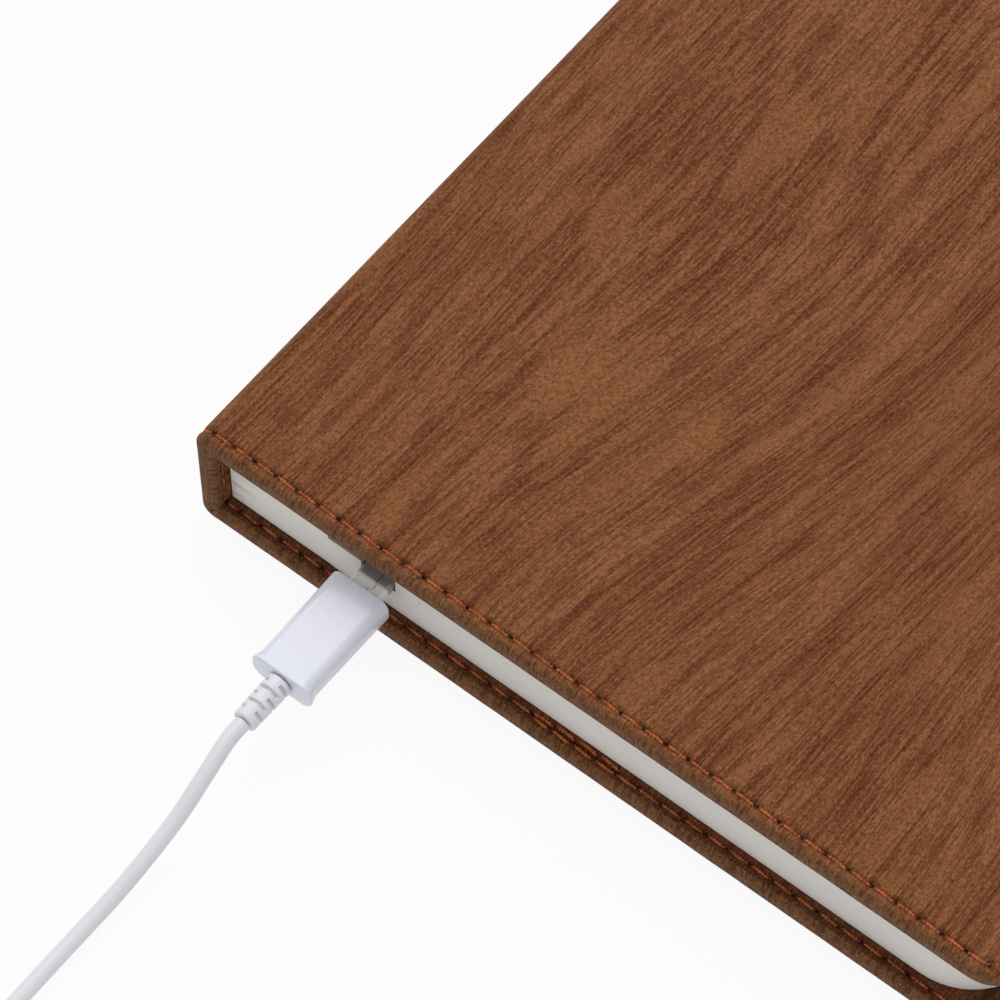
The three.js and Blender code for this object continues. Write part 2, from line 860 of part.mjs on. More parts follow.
function wallPlugBody() {
  const half = wallPlugWidth / 2;
  const section = roundedRectangle(tailX - half, tailX + half, 0, wallPlugHeight, wallPlugRound);
  return piece("wall_plug_body", run(section, wallPlugLow, wallPlugLow + wallPlugLength), finishes.plugWhite);
}

// Open steel shell with a contact tongue's block in it and four latch windows
function wallPlugShell() {
  const half = wallShellWidth / 2;
  const low = wallPlugLow + wallPlugLength + fitGap;
  const high = low + wallShellLength;
  const middle = wallPlugHeight / 2;
  const z0 = middle - wallShellHeight / 2;
  const z1 = middle + wallShellHeight / 2;
  const outer = toSolid(box(tailX - half, tailX + half, low, high, z0, z1));
  const mouth = box(
    tailX - half + wallShellWall,
    tailX + half - wallShellWall,
    low + wallShellWall,
    high + overrun,
    z0 + wallTongueHeight,
    z1 - wallShellWall,
  );
  let shell = outer.subtract(toSolid(mouth));
  [-1, 1].forEach((side) => {
    const x = tailX + side * wallWindowReach;
    const y = (low + high) / 2;
    const reach = wallWindow / 2;
    const window = box(x - reach, x + reach, y - reach, y + reach, z0 - overrun, z1 + overrun);
    shell = shell.subtract(toSolid(window));
  });
  return piece("wall_plug_shell", shell, finishes.steel);
}

// The whole lamp, closed and lying on its back cover, centred on the case's base
const lamp = new THREE.Group();
lamp.add(...spinePanel());
lamp.add(hingeRoll("front_hinge_roll", true));
lamp.add(hingeRoll("back_hinge_roll", false));
lamp.add(frontCover());
lamp.add(backCover());
lamp.add(coreTray());
lamp.add(coreDiffuser());
lamp.add(portCap());
lamp.add(topCap());
lamp.add(chargeBoard());
lamp.add(chargeSocket());
lamp.add(ledCarrier());
lamp.add(ledStrip("led_strip_front", stripOffset));
lamp.add(ledStrip("led_strip_back", -stripOffset));
lamp.add(batteryCell("battery_cell_01", 0));
lamp.add(batteryCell("battery_cell_02", 1));
lamp.add(batteryLead("battery_lead_red", leadOffset, finishes.redLead));
lamp.add(batteryLead("battery_lead_black", -leadOffset, finishes.blackLead));
lamp.add(hallSwitch());
lamp.add(trayScrew(0));
lamp.add(trayScrew(1));
for (let i = 0; i < leafCount; i += 1) lamp.add(pageLeaf(i));
lamp.add(plugShell());
lamp.add(plugBody());
lamp.add(strainRelief());
lamp.add(chargingCord());
lamp.add(cordTail());
lamp.add(cordCoil());
lamp.add(cordTie());
lamp.add(wallPlugBody());
lamp.add(wallPlugShell());
lamp.position.set(-bookWidth / 2, -bookHeight / 2, 0);

export default lamp;
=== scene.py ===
import math

import bmesh
import bpy
from mathutils import Matrix, Vector


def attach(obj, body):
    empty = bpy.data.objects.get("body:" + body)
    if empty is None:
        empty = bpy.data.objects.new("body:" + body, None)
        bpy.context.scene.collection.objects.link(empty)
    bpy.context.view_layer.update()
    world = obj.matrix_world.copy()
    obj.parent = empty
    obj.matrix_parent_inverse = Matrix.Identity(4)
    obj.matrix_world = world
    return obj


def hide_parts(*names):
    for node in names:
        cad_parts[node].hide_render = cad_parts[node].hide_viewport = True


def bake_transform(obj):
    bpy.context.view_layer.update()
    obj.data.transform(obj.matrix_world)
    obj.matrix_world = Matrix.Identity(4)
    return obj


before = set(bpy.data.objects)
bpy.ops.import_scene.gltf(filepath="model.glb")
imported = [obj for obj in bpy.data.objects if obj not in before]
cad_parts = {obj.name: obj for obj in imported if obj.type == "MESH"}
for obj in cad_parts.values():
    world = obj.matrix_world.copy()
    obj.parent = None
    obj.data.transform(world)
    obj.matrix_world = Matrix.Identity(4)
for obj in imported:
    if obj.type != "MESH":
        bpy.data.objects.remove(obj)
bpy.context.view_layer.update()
print("frame loaded:", len(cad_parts), "solids")

# Sizes are in millimetres, in the book's own frame: x from the spine's outer face, y from the
# port end, z up from the back cover. place() turns them into the shared frame's metres.
book = {
    "width": 170.0,
    "height": 215.0,
    "thickness": 25.8,
    "cover": 4.2,
    "foreRadius": 8.0,
    "pageMargin": 3.8,
    "pageRadius": 14.0,
}
midZ = book["thickness"] / 2


def place(x, y, z):
    return Vector(((x - book["width"] / 2) / 1000, (y - book["height"] / 2) / 1000, z / 1000))


def mm(value):
    return value / 1000


# Camera: the photo's own place and lens
camera = {
    "eye": (279.55, -273.3, 652.26),
    "right": (0.78631, 0.61783, 0.00282),
    "up": (-0.53149, 0.67408, 0.51297),
    "back": (0.31503, -0.40486, 0.8584),
    "lens": 154.8,
}
lens = bpy.data.cameras.new("photoCamera")
lens.lens = camera["lens"]
lens.sensor_width = 36
lens.clip_start = 0.01
lens.clip_end = 20
photoCamera = bpy.data.objects.new("photoCamera", lens)
axes = Matrix((camera["right"], camera["up"], camera["back"])).transposed()
photoCamera.matrix_world = Matrix.Translation(place(*camera["eye"])) @ axes.to_4x4()
bpy.context.scene.collection.objects.link(photoCamera)
bpy.context.scene.camera = photoCamera


# Meshes: points and faces in, one object at the origin out
def addPiece(name, points, faces, materials, smoothAngle=40, faceMaterials=None, sheet=None):
    mesh = bpy.data.meshes.new(name)
    mesh.from_pydata([tuple(p) for p in points], [], faces)
    mesh.update()
    if sheet:
        field = mesh.attributes.new("sheet", "FLOAT_VECTOR", "POINT")
        field.data.foreach_set("vector", [c for spot in sheet for c in spot])
    for material in materials:
        mesh.materials.append(material)
    if faceMaterials:
        mesh.polygons.foreach_set("material_index", faceMaterials)
    piece = bpy.data.objects.new(name, mesh)
    bpy.context.scene.collection.objects.link(piece)
    cleanNormals(mesh)
    mesh.polygons.foreach_set("use_smooth", [True] * len(mesh.polygons))
    mesh.set_sharp_from_angle(angle=math.radians(smoothAngle))
    return piece


def cleanNormals(mesh):
    cleaned = bmesh.new()
    cleaned.from_mesh(mesh)
    bmesh.ops.recalc_face_normals(cleaned, faces=cleaned.faces)
    cleaned.to_mesh(mesh)
    cleaned.free()
    mesh.update()


# Closed skin over a list of equal loops, with a cap at each end
def loft(loops):
    count = len(loops[0])
    faces = []
    for k in range(len(loops) - 1):
        for j in range(count):
            a = k * count + j
            b = k * count + (j + 1) % count
            faces.append((a, b, b + count, a + count))
    last = (len(loops) - 1) * count
    faces.append(tuple(range(count))[::-1])
    faces.append(tuple(range(last, last + count)))
    return [p for loop in loops for p in loop], faces


# A round tube along points, with a frame that doesn't twist
def tube(points, radius, sides):
    loops = []
    normal = None
    for i, point in enumerate(points):
        ahead = points[min(i + 1, len(points) - 1)] - points[max(i - 1, 0)]
        ahead.normalize()
        if normal is None:
            seed = Vector((0, 0, 1)) if abs(ahead.z) < 0.9 else Vector((1, 0, 0))
            normal = ahead.cross(seed).normalized()
        normal = (normal - ahead * normal.dot(ahead)).normalized()
        side = ahead.cross(normal)
        loop = []
        for j in range(sides):
            turn = 2 * math.pi * j / sides
            loop.append(point + (normal * math.cos(turn) + side * math.sin(turn)) * radius)
        loops.append(loop)
    return loft(loops)


def smoothPath(points, steps):
    out = []
    for i in range(len(points) - 1):
        a, b = points[max(i - 1, 0)], points[i]
        c, d = points[i + 1], points[min(i + 2, len(points) - 1)]
        for k in range(steps):
            t = k / steps
            out.append(0.5 * ((2 * b) + (c - a) * t + (2 * a - 5 * b + 4 * c - d) * t * t
                              + (3 * b - a - 3 * c + d) * t * t * t))
    out.append(points[-1])
    return out


# Node maths: a wired value that adds its own nodes
class Wire:
    def __init__(self, graph, socket):
        self.graph = graph
        self.socket = socket

    def math(self, how, *others):
        inputs = {i: value for i, value in enumerate((self, *others))}
        return self.graph.node("ShaderNodeMath", {"operation": how}, inputs)

    def __add__(self, other):
        return self.math("ADD", other)

    def __sub__(self, other):
        return self.math("SUBTRACT", other)

    def __mul__(self, other):
        return self.math("MULTIPLY", other)

    def __truediv__(self, other):
        return self.math("DIVIDE", other)

    def reflected(self, how, first):
        return self.graph.node("ShaderNodeMath", {"operation": how}, {0: first, 1: self})

    def __radd__(self, other):
        return self.reflected("ADD", other)

    def __rsub__(self, other):
        return self.reflected("SUBTRACT", other)

    def __rmul__(self, other):
        return self.reflected("MULTIPLY", other)

    def __rtruediv__(self, other):
        return self.reflected("DIVIDE", other)

    def __abs__(self):
        return self.math("ABSOLUTE")

    def least(self, other):
        return self.math("MINIMUM", other)

    def most(self, other):
        return self.math("MAXIMUM", other)

    def fade(self, low, high, outLow=0.0, outHigh=1.0):
        inputs = {"Value": self, "From Min": low, "From Max": high, "To Min": outLow, "To Max": outHigh}
        return self.graph.node("ShaderNodeMapRange", {"interpolation_type": "SMOOTHSTEP"}, inputs)


# A node tree, either a material's or the thread's
class Graph:
    def __init__(self, tree):
        self.tree = tree

    def wire(self, socket, value):
        if isinstance(value, Wire):
            self.tree.links.new(value.socket, socket)
        elif isinstance(value, (tuple, list)) and len(value) == 3 and socket.type == "RGBA":
            socket.default_value = (*value, 1)
        else:
            socket.default_value = value

    def node(self, kind, settings=None, inputs=None, output=0):
        made = self.tree.nodes.new(kind)
        for key, value in (settings or {}).items():
            setattr(made, key, value)
        for key, value in (inputs or {}).items():
            self.wire(made.inputs[key], value)
        return Wire(self, made.outputs[output]) if made.outputs else made


class Finish(Graph):
    def __init__(self, name):
        self.material = bpy.data.materials.new(name)
        self.material.use_nodes = True
        super().__init__(self.material.node_tree)
        self.tree.nodes.clear()
        self.shader = self.node("ShaderNodeBsdfPrincipled")
        self.output = self.node("ShaderNodeOutputMaterial", None, {"Surface": self.shader})

    def set(self, **values):
        for key, value in values.items():
            self.wire(self.shader.socket.node.inputs[key.replace("_", " ")], value)
        return self

    def objectPoint(self):
        return self.node("ShaderNodeTexCoord", output="Object")

    def attribute(self, name):
        return self.node("ShaderNodeAttribute", {"attribute_name": name}, output="Vector")

    def parts(self, vector):
        first = self.node("ShaderNodeSeparateXYZ", None, {0: vector})
        return [Wire(self, socket) for socket in first.socket.node.outputs]

    def join(self, x, y, z):
        return self.node("ShaderNodeCombineXYZ", None, {0: x, 1: y, 2: z})

    def scaled(self, vector, scale):
        return self.node("ShaderNodeMapping", None, {"Vector": vector, "Scale": scale})

    def noise(self, vector, scale, detail=2.0, roughness=0.5):
        inputs = {"Vector": vector, "Scale": scale, "Detail": detail, "Roughness": roughness}
        return self.node("ShaderNodeTexNoise", None, inputs, "Fac")

    def cells(self, vector, scale):
        return self.node("ShaderNodeTexVoronoi", None, {"Vector": vector, "Scale": scale}, "Distance")

    def mix(self, amount, first, second):
        return self.node("ShaderNodeMix", {"data_type": "RGBA"}, {0: amount, 6: first, 7: second}, 2)

    def bump(self, height, strength, distance):
        inputs = {"Height": height, "Strength": strength, "Distance": distance}
        return self.node("ShaderNodeBump", None, inputs, "Normal")


# Colours are written as they show on a screen and turned into linear ones here
def shade(red, green, blue):
    return tuple((c / 255 / 12.92) if c <= 10 else ((c / 255 + 0.055) / 1.055) ** 2.4
                 for c in (red, green, blue))


# Printed wood-grain leather. The sheet attribute is the leather's flat coordinate in metres, u
# across the grain and v along it, so the print and the seam holes follow the leather round edges.
leather = {
    "light": shade(153, 98, 60),
    "pale": shade(178, 134, 102),
    "base": shade(142, 87, 51),
    "red": shade(112, 55, 22),
    "streak": shade(76, 22, 0),
    "edge": shade(116, 84, 53),
    # deep is a dark tone for the random specks, and the painted shade in wrinkles, crinkles, the seam
    # groove and on the lining
    "deep": shade(62, 21, 0),
    # hole is the painted shade inside the needle holes
    "hole": shade(22, 9, 5),
    "seamInset": 2.42,
    "seamPitch": 4.6252,
    "innerSeam": 5.491,
    "seamShift": 11.21,
    "roughness": 0.56,
    "specular": 0.1,
    "archShift": 0.016,
    "archBack": 1.6,
    "archRise": (0.026, 0.092),
    "archFall": (0.096, 0.164),
    "archTop": 0.098,
    "drift": 0.010,
    "holeEdge": (0.26, 0.5),
    "holeSquash": 2.2,
    "puckerEdge": (0.5, 1.9),
    "grooveEdge": (0.15, 0.75),
    "pebbles": 1500.0,
    "bump": 0.9,
    "relief": 0.34,
    "scales": {  # How often each layer of the print comes in a metre, across the grain and along it
        "slow": (14.0, 5.0, 1.0),
        "broad": (95.0, 7.0, 1.0),
        "tone": (270.0, 16.0, 1.0),
        "lens": (180.0, 30.0, 1.0),
        "fine": (2400.0, 100.0, 1.0),
        "coarse": (1100.0, 56.0, 1.0),
        "crinkle": (1700.0, 760.0, 1.0),
        "speck": (3000.0, 1500.0, 1.0),
        "pebble": (1.25, 0.9, 1.0),
    },
    "shares": {  # How strongly each layer covers the colour below it
        "dense": 0.21,
        "calm": 0.22,
        "lines": 0.46,
        "ticks": 0.62,
        "turned": 0.6,
        "folds": 0.45,
        "groove": 0.35,
        "pucker": 0.25,
        "crinkle": 0.36,
        "darkSpeck": 0.26,
        "paleSpeck": 0.22,
    },
}


def leatherFinish(name, paintedShade=0.0):
    made = Finish(name)
    sheet = made.attribute("sheet")
    u, v = made.parts(sheet)[:2]
    shares = leather["shares"]

    def layer(key, vector, detail, roughness=0.5):
        return made.noise(made.scaled(vector, leather["scales"][key]), 1.0, detail, roughness)

    # The grain runs along v near the spine, and leans over an arch low in the middle
    slow = layer("slow", sheet, 1.0)
    arch = u.fade(*leather["archRise"]) - u.fade(*leather["archFall"]) * leather["archBack"]
    lean = arch * v.fade(0.0, leather["archTop"]) * leather["archShift"]
    grain = made.join(u - lean + (slow - 0.5) * leather["drift"], v, 0.0)

    broad = layer("broad", grain, 2.0)
    tone = layer("tone", grain, 2.0, 0.55)
    lens = layer("lens", grain, 1.0, 0.4)
    fine = layer("fine", grain, 1.0, 0.4)
    coarse = layer("coarse", grain, 1.0, 0.35)
    calm = lens.fade(0.56, 0.66)
    dense = (broad * 0.7 + tone * 0.6).fade(0.52, 0.84) * (1.0 - calm * 0.7)
    ticks = fine.fade(0.54, 0.57) * (0.60 + dense * 0.25) * (1.0 - calm * 0.8)
    lines = coarse.fade(0.55, 0.57) * (0.60 + dense * 0.30) * (1.0 - calm * 0.8)

    # Seam: a pressed groove with a needle hole at each end of a stitch, with painted shade in the groove,
    # round each hole and inside it
    half = book["height"] / 2000
    toEnd = half - abs(v - half)
    toFore = mm(book["width"] + leather["seamShift"]) - u
    inset = toEnd.least(toFore)
    line = abs(inset - mm(leather["seamInset"])).least(abs(inset + mm(leather["innerSeam"])))
    pitch = mm(leather["seamPitch"])
    phaseU = abs((u / pitch).math("FRACT") - 0.5)
    phaseV = abs(((v - half) / pitch + 50.0).math("FRACT") - 0.5)
    onEnd = (toEnd - toFore).fade(-0.0005, 0.0005, 1.0, 0.0)
    stepAway = (0.5 - (phaseU * onEnd + phaseV * (1.0 - onEnd))) * pitch
    holeRange = (stepAway * stepAway + line * line * leather["holeSquash"]).math("SQRT")
    hole, pucker, groove = (
        distance.fade(*[mm(edge) for edge in leather[key]], 1.0, 0.0)
        for distance, key in ((holeRange, "holeEdge"), (holeRange, "puckerEdge"), (line, "grooveEdge"))
    )

    # The turned edge has an olive tone and wrinkles across it instead of the print, with painted shade in
    # the wrinkles' hollows
    turned = inset.fade(mm(-5.6), mm(-4.0)) * inset.fade(mm(0.2), mm(2.0), 1.0, 0.0)
    along = u * onEnd + v * (1.0 - onEnd)
    wrinkle = made.noise(made.join(along * 1300.0, inset * 210.0, 0.0), 1.0, 2.0, 0.6)
    folds = wrinkle.fade(0.50, 0.64) * turned
    plain = 1.0 - turned * 0.8

    colour = made.mix(tone.fade(0.42, 0.64), leather["light"], leather["base"])
    colour = made.mix(dense * plain * shares["dense"], colour, leather["red"])
    colour = made.mix(calm * shares["calm"], colour, leather["light"])
    colour = made.mix(lines * plain * shares["lines"], colour, leather["streak"])
    colour = made.mix(ticks * plain * shares["ticks"], colour, leather["streak"])
    colour = made.mix(turned * shares["turned"], colour, leather["edge"])
    # Painted shade in the wrinkles
    colour = made.mix(folds * shares["folds"], colour, leather["deep"])
    # Painted shade in the seam groove, round the needle holes and inside them
    colour = made.mix(groove * shares["groove"] + pucker * shares["pucker"], colour, leather["deep"])
    colour = made.mix(hole, colour, leather["hole"])
    # Painted shade: the lining's colour is darkened towards deep
    if paintedShade:
        colour = made.mix(paintedShade, colour, leather["deep"])

    # Fine leather pebble, a little longer along the print
    pebble = made.cells(made.scaled(sheet, leather["scales"]["pebble"]), leather["pebbles"])
    speck = layer("speck", grain, 2.0, 0.6)
    crinkle = layer("crinkle", grain, 3.0, 0.6)
    # Painted shade in the crinkle hollows; the specks below are random tone
    colour = made.mix(crinkle.fade(0.45, 0.62) * shares["crinkle"], colour, leather["deep"])
    colour = made.mix(speck.fade(0.44, 0.64) * shares["darkSpeck"], colour, leather["deep"])
    colour = made.mix(speck.fade(0.34, 0.50, 1.0, 0.0) * shares["paleSpeck"], colour, leather["pale"])
    relief = pebble * 0.5 - crinkle * 1.2 + speck * 0.3 - (ticks + lines) * plain * 0.4
    height = relief - folds * 0.8 - pucker * 1.0 - hole * 1.6
    made.set(
        Base_Color=colour,
        Roughness=leather["roughness"] + (pebble - 0.5) * 0.12,
        Normal=made.bump(height, leather["bump"], mm(leather["relief"])),
        Specular_IOR_Level=leather["specular"],
    )
    return made.material


woodLeather = leatherFinish("woodLeather")
liningInShade = leatherFinish("liningInShade", 0.55)


grainScales = {"cloud": 60.0, "fine": 2000.0}


def plainFinish(name, colour, roughness, metallic=0.0, speck=0.04, bumpHeight=0.02, coat=0.0, spec=0.5):
    made = Finish(name)
    point = made.objectPoint()
    cloud = made.noise(point, grainScales["cloud"], 3.0, 0.6)
    fine = made.noise(point, grainScales["fine"], 2.0, 0.6)
    darker = tuple(c * (1 - 3 * speck) for c in colour)
    tinted = made.mix(cloud.fade(0.3, 0.75), colour, darker)
    made.set(
        Base_Color=tinted,
        Roughness=fine.fade(0.2, 0.8, max(roughness - 0.05, 0.02), min(roughness + 0.06, 1)),
        Metallic=metallic,
        Coat_Weight=coat,
        Specular_IOR_Level=spec,
        Normal=made.bump(fine, 0.25, mm(bumpHeight)),
    )
    return made.material


tints = {
    "plug": shade(231, 233, 246),
    "cord": shade(235, 235, 241),
    "steel": (0.96, 0.96, 0.97),
    # painted shadow and dark reflection of the cover on the plug's shell
    "coverShadeOnSteel": shade(104, 90, 84),
    "paper": shade(243, 239, 234),
    "case": shade(243, 240, 233),
    "shadow": shade(112, 92, 80),
    # painted shade for the thin band beside the slot
    "stepShade": shade(98, 84, 80),
    "ply": shade(176, 170, 164),
}
plugGloss = plainFinish("plugGloss", tints["plug"], 0.24, speck=0.006, coat=0.3, bumpHeight=0.004)
cordJacket = plainFinish("cordJacket", tints["cord"], 0.42, speck=0.012, bumpHeight=0.012)
reliefPlastic = plainFinish("reliefPlastic", tints["cord"], 0.34, speck=0.01, bumpHeight=0.006)
tieRubber = plainFinish("tieRubber", shade(34, 34, 36), 0.6, speck=0.05, bumpHeight=0.03)
pagePaper = plainFinish("pagePaper", tints["paper"], 0.8, speck=0.012, spec=0.15)
whitePlastic = plainFinish("whitePlastic", tints["case"], 0.6, speck=0.015, bumpHeight=0.01, spec=0.3)
diffuserPlastic = plainFinish("diffuserPlastic", shade(238, 234, 222), 0.5, speck=0.01, bumpHeight=0.01)
boardGreen = plainFinish("boardGreen", shade(38, 92, 52), 0.4, speck=0.08)
stripWhite = plainFinish("stripWhite", shade(232, 230, 214), 0.45, speck=0.03)
cellSleeve = plainFinish("cellSleeve", shade(52, 92, 168), 0.35, speck=0.03, bumpHeight=0.01)
redSleeve = plainFinish("redSleeve", shade(172, 30, 28), 0.4)
blackPlastic = plainFinish("blackPlastic", shade(30, 30, 32), 0.45, speck=0.05)
nickel = plainFinish("nickel", (0.58, 0.58, 0.58), 0.28, metallic=1.0, speck=0.02, bumpHeight=0.004)


# Bright shell with the folded seam along its upper face, painted darker under the cover's edge as the
# cover's shadow and dark reflection
def shellFinish():
    made = Finish("shellSteel")
    x, y, z = made.parts(made.objectPoint())
    start = place(cordSizes["portX"] + 0.7, -0.6, 0)
    away, along = x - start.x, y - start.y
    jog = along.fade(mm(1.2), mm(1.5)) - along.fade(mm(2.5), mm(2.8)) * 0.4
    seam = abs(away - jog * mm(0.75) + mm(0.3))
    top = z.fade(mm(12.2), mm(12.4))
    gap = seam.fade(mm(0.03), mm(0.10), 1.0, 0.0) * top
    # Painted shadow and dark reflection of the cover, on the shell beneath its edge
    under = y.fade(place(0, 1.9, 0).y, place(0, 2.7, 0).y)
    steel = made.mix(under * 0.7, tints["steel"], tints["coverShadeOnSteel"])
    brushed = made.noise(made.scaled(made.objectPoint(), (2600.0, 240.0, 900.0)), 1.0, 2.0, 0.6)
    made.set(
        Base_Color=made.mix(gap, steel, shade(40, 36, 36)),
        Metallic=0.3,
        Roughness=brushed.fade(0.2, 0.8, 0.16, 0.24),
        Normal=made.bump(brushed * 0.02 - gap, 0.3, mm(0.05)),
    )
    return made.material


# Port end of the light core: ply lines beside the spine, a slot with painted shade inside, and beside it a
# thin band of painted shade standing for a recess under the cover's edge.
# Each pair is where a mark fades in or out, in the book's frame, and slotHalf from the slot's middle.
portMarks = {
    "plyEnd": (6.0, 11.0),
    "plyScale": (120.0, 120.0, 1500.0),
    "shadeStart": (26.3, 26.6),
    "shadeEnd": (33.6, 37.5),
    "shadeFoot": (13.0, 13.15),
    "shadeHead": (14.6, 14.8),
    "slotHalf": (3.75, 3.81),
    "slotMouth": (3.82, 3.95),
}


def capFinish():
    made = Finish("whiteCase")
    point = made.objectPoint()
    x, y, z = made.parts(point)

    def marked(key, axis=2):
        return [place(*[edge] * 3)[axis] for edge in portMarks[key]]

    cloud = made.noise(point, grainScales["cloud"], 3.0, 0.6)
    fine = made.noise(point, grainScales["fine"], 2.0, 0.6)
    colour = made.mix(cloud.fade(0.3, 0.75) * 0.04, tints["case"], tints["ply"])
    ply = made.noise(made.scaled(point, portMarks["plyScale"]), 1.0, 2.0, 0.5)
    nearSpine = x.fade(*marked("plyEnd", 0), 1.0, 0.0)
    colour = made.mix(ply.fade(0.54, 0.62) * nearSpine * 0.55, colour, tints["ply"])
    # Painted shade: a thin dark band under the cover's edge, beside the slot
    step = x.fade(*marked("shadeStart", 0)) * x.fade(*marked("shadeEnd", 0), 1.0, 0.0)
    shadeBand = z.fade(*marked("shadeFoot")) * z.fade(*marked("shadeHead"), 1.0, 0.0)
    colour = made.mix(step * shadeBand * 0.9, colour, tints["stepShade"])
    aside = abs(x - place(cordSizes["portX"], 0, 0).x)
    inside = aside.fade(*marked("slotHalf"), 1.0, 0.0) * y.fade(*marked("slotMouth", 1))
    colour = made.mix(inside * 0.85, colour, tints["shadow"])
    made.set(
        Base_Color=colour,
        Roughness=fine.fade(0.2, 0.8, 0.55, 0.68),
        Specular_IOR_Level=0.3,
        Normal=made.bump(fine, 0.25, mm(0.01)),
    )
    return made.material


# Twisted thread in two tones, with pale flecks painted on as highlights
def threadFinish():
    made = Finish("seamThread")
    point = made.objectPoint()
    tone = made.noise(point, 900.0, 1.0)
    fuzzAndGlint = made.noise(point, 5200.0, 2.0, 0.6)
    colour = made.mix(tone.fade(0.35, 0.65), shade(196, 101, 43), shade(148, 64, 24))
    # Painted highlights: pale flecks on the thread
    colour = made.mix(fuzzAndGlint.fade(0.45, 0.75) * 0.42, colour, shade(232, 154, 98))
    bump = made.bump(fuzzAndGlint, 0.5, mm(0.05))
    made.set(Base_Color=colour, Roughness=0.5, Normal=bump, Specular_IOR_Level=0.35)
    return made.material


# Cord: the route that the CAD solids give, then the turns of the coil
cordSizes = {
    "diameter": 3.0,
    "length": 1000.0,
    "portX": 37.5,
    "portZ": 11.7,
    "coilInner": 13.963,
    "coilPitch": 3.04,
    "coilTurnsIn": 3.25,
    "coilY": -142.0,
    "coilLow": 2.5,
    "coilRise": 3.05,
    "climbSquared": 9.3,
    "slideSquared": 9.24,
    "stepsPerTurn": 24,
    "stepsPerPoint": 3,
    "sides": 14,
}
shellSteel = shellFinish()
whiteCase = capFinish()
seamThread = threadFinish()
print("finishes ready")


def cordPoints():
    c = cordSizes
    x, high = c["portX"], c["portZ"]
    route = [
        (x, -32.4, high), (x, -35.1, high), (x + 0.2, -38, 11.3), (x + 0.7, -43, 10.0),
        (x + 1.2, -51, 7.3), (x + 1.1, -59, 4.9), (x + 0.8, -67, 3.0), (x + 0.4, -75, 2.0),
        (x + 0.2, -85, 1.6), (x + 0.2, -95, 1.6), (x + 0.1, -105, 1.65), (x, -114, 2.0),
        (x, -121, 2.5), (x, -128.5, 2.7), (x, -135, 2.6),
    ]
    points = smoothPath([Vector(p) for p in route], c["stepsPerPoint"])
    outer = c["coilInner"] + c["coilPitch"] * c["coilTurnsIn"]
    centre = x - outer
    turns = 2 * c["coilTurnsIn"] + 1
    for k in range(int(turns * c["stepsPerTurn"]) + 1):
        turn = k / c["stepsPerTurn"]
        inner = min(max(turn - c["coilTurnsIn"], 0), 1)
        away = abs(turn - c["coilTurnsIn"] - 0.5) - 0.5
        radius = c["coilInner"] + c["coilPitch"] * max(away, 0)
        # The second layer climbs over the first one as it slides across it
        climb = max(0, c["climbSquared"] - c["slideSquared"] * (1 - inner) ** 2) if inner else 0
        angle = -2 * math.pi * turn
        x, y = centre + radius * math.cos(angle), c["coilY"] + radius * math.sin(angle)
        points.append(Vector((x, y, c["coilLow"] + min(math.sqrt(climb), c["coilRise"]))))
    end = centre - outer
    tail = [(end, -135, 5.2), (end, -128.5, 4.7), (end, -122, 4.2), (end, -116, 3.9), (end, -110.6, 3.8)]
    points += smoothPath([Vector(p) for p in tail], c["stepsPerPoint"])
    return points, end


cordLine, tailX = cordPoints()
cordRow = [place(*p) for p in cordLine]
cordMesh = tube(cordRow, mm(cordSizes["diameter"] / 2), cordSizes["sides"])
cordTube = addPiece("cordTube", *cordMesh, [cordJacket])
measured = sum((b - a).length for a, b in zip(cordLine, cordLine[1:]))
print("cord length in mm:", round(measured, 1))
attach(cordTube, "cable")
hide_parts("charging_cord", "cord_coil", "cord_tail")


# Moulded grips: rounded sections along y, with stations that give each end's form
def moulding(name, x, high, sizes, stations):
    cornerSteps, leastRound = 8, 0.3
    loops = []
    for y, grow in stations:
        w, h = sizes["halfWidth"] + grow, sizes["halfHeight"] + grow / 2
        loop = []
        for corner, (sx, sz) in enumerate(((1, -1), (1, 1), (-1, 1), (-1, -1))):
            for k in range(cornerSteps + 1):
                a = math.pi / 2 * (corner - 1) + math.pi / 2 * k / cornerSteps
                r = max(sizes["round"] + min(grow, 0), leastRound)
                loop.append(place(x + sx * (w - r) + r * math.cos(a), sizes["front"] + y,
                                  high + sz * (h - r) + r * math.sin(a)))
        loops.append(loop)
    return addPiece(name, *loft(loops), [plugGloss], 35)


grip = {
    "front": -0.6,
    "length": 21.7,
    "halfWidth": 6.15,
    "halfHeight": 2.97,
    "round": 2.3,
    "frontRound": 0.45,
    "taper": 0.2,
    "flare": 0.3,
    "flareLength": 2.6,
    "endRun": 0.25,
    "endSteps": ((0.12, 0.05), (0.03, 0.2), (0.0, 0.5)),  # short of the end, and in from the flare
}


def gripStations():
    g = grip
    rows = []
    for k in range(7):
        a = math.pi / 2 * k / 6
        rows.append((-g["frontRound"] * (1 - math.cos(a)), -g["frontRound"] * (1 - math.sin(a))))
    flareStart = g["length"] - g["flareLength"]
    for k in range(1, 9):
        at = g["frontRound"] + (flareStart - g["frontRound"]) * k / 8
        rows.append((-at, -g["taper"] * k / 8))
    for k in range(1, 9):
        share = k / 8
        rise = (g["flare"] + g["taper"]) * share * share * (3 - 2 * share)
        rows.append((-flareStart - (g["flareLength"] - g["endRun"]) * share, rise - g["taper"]))
    return rows + [(back - g["length"], g["flare"] - less) for back, less in g["endSteps"]]


plugGrip = moulding("plugGrip", cordSizes["portX"], cordSizes["portZ"], grip, gripStations())
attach(plugGrip, "cable")
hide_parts("plug_body")

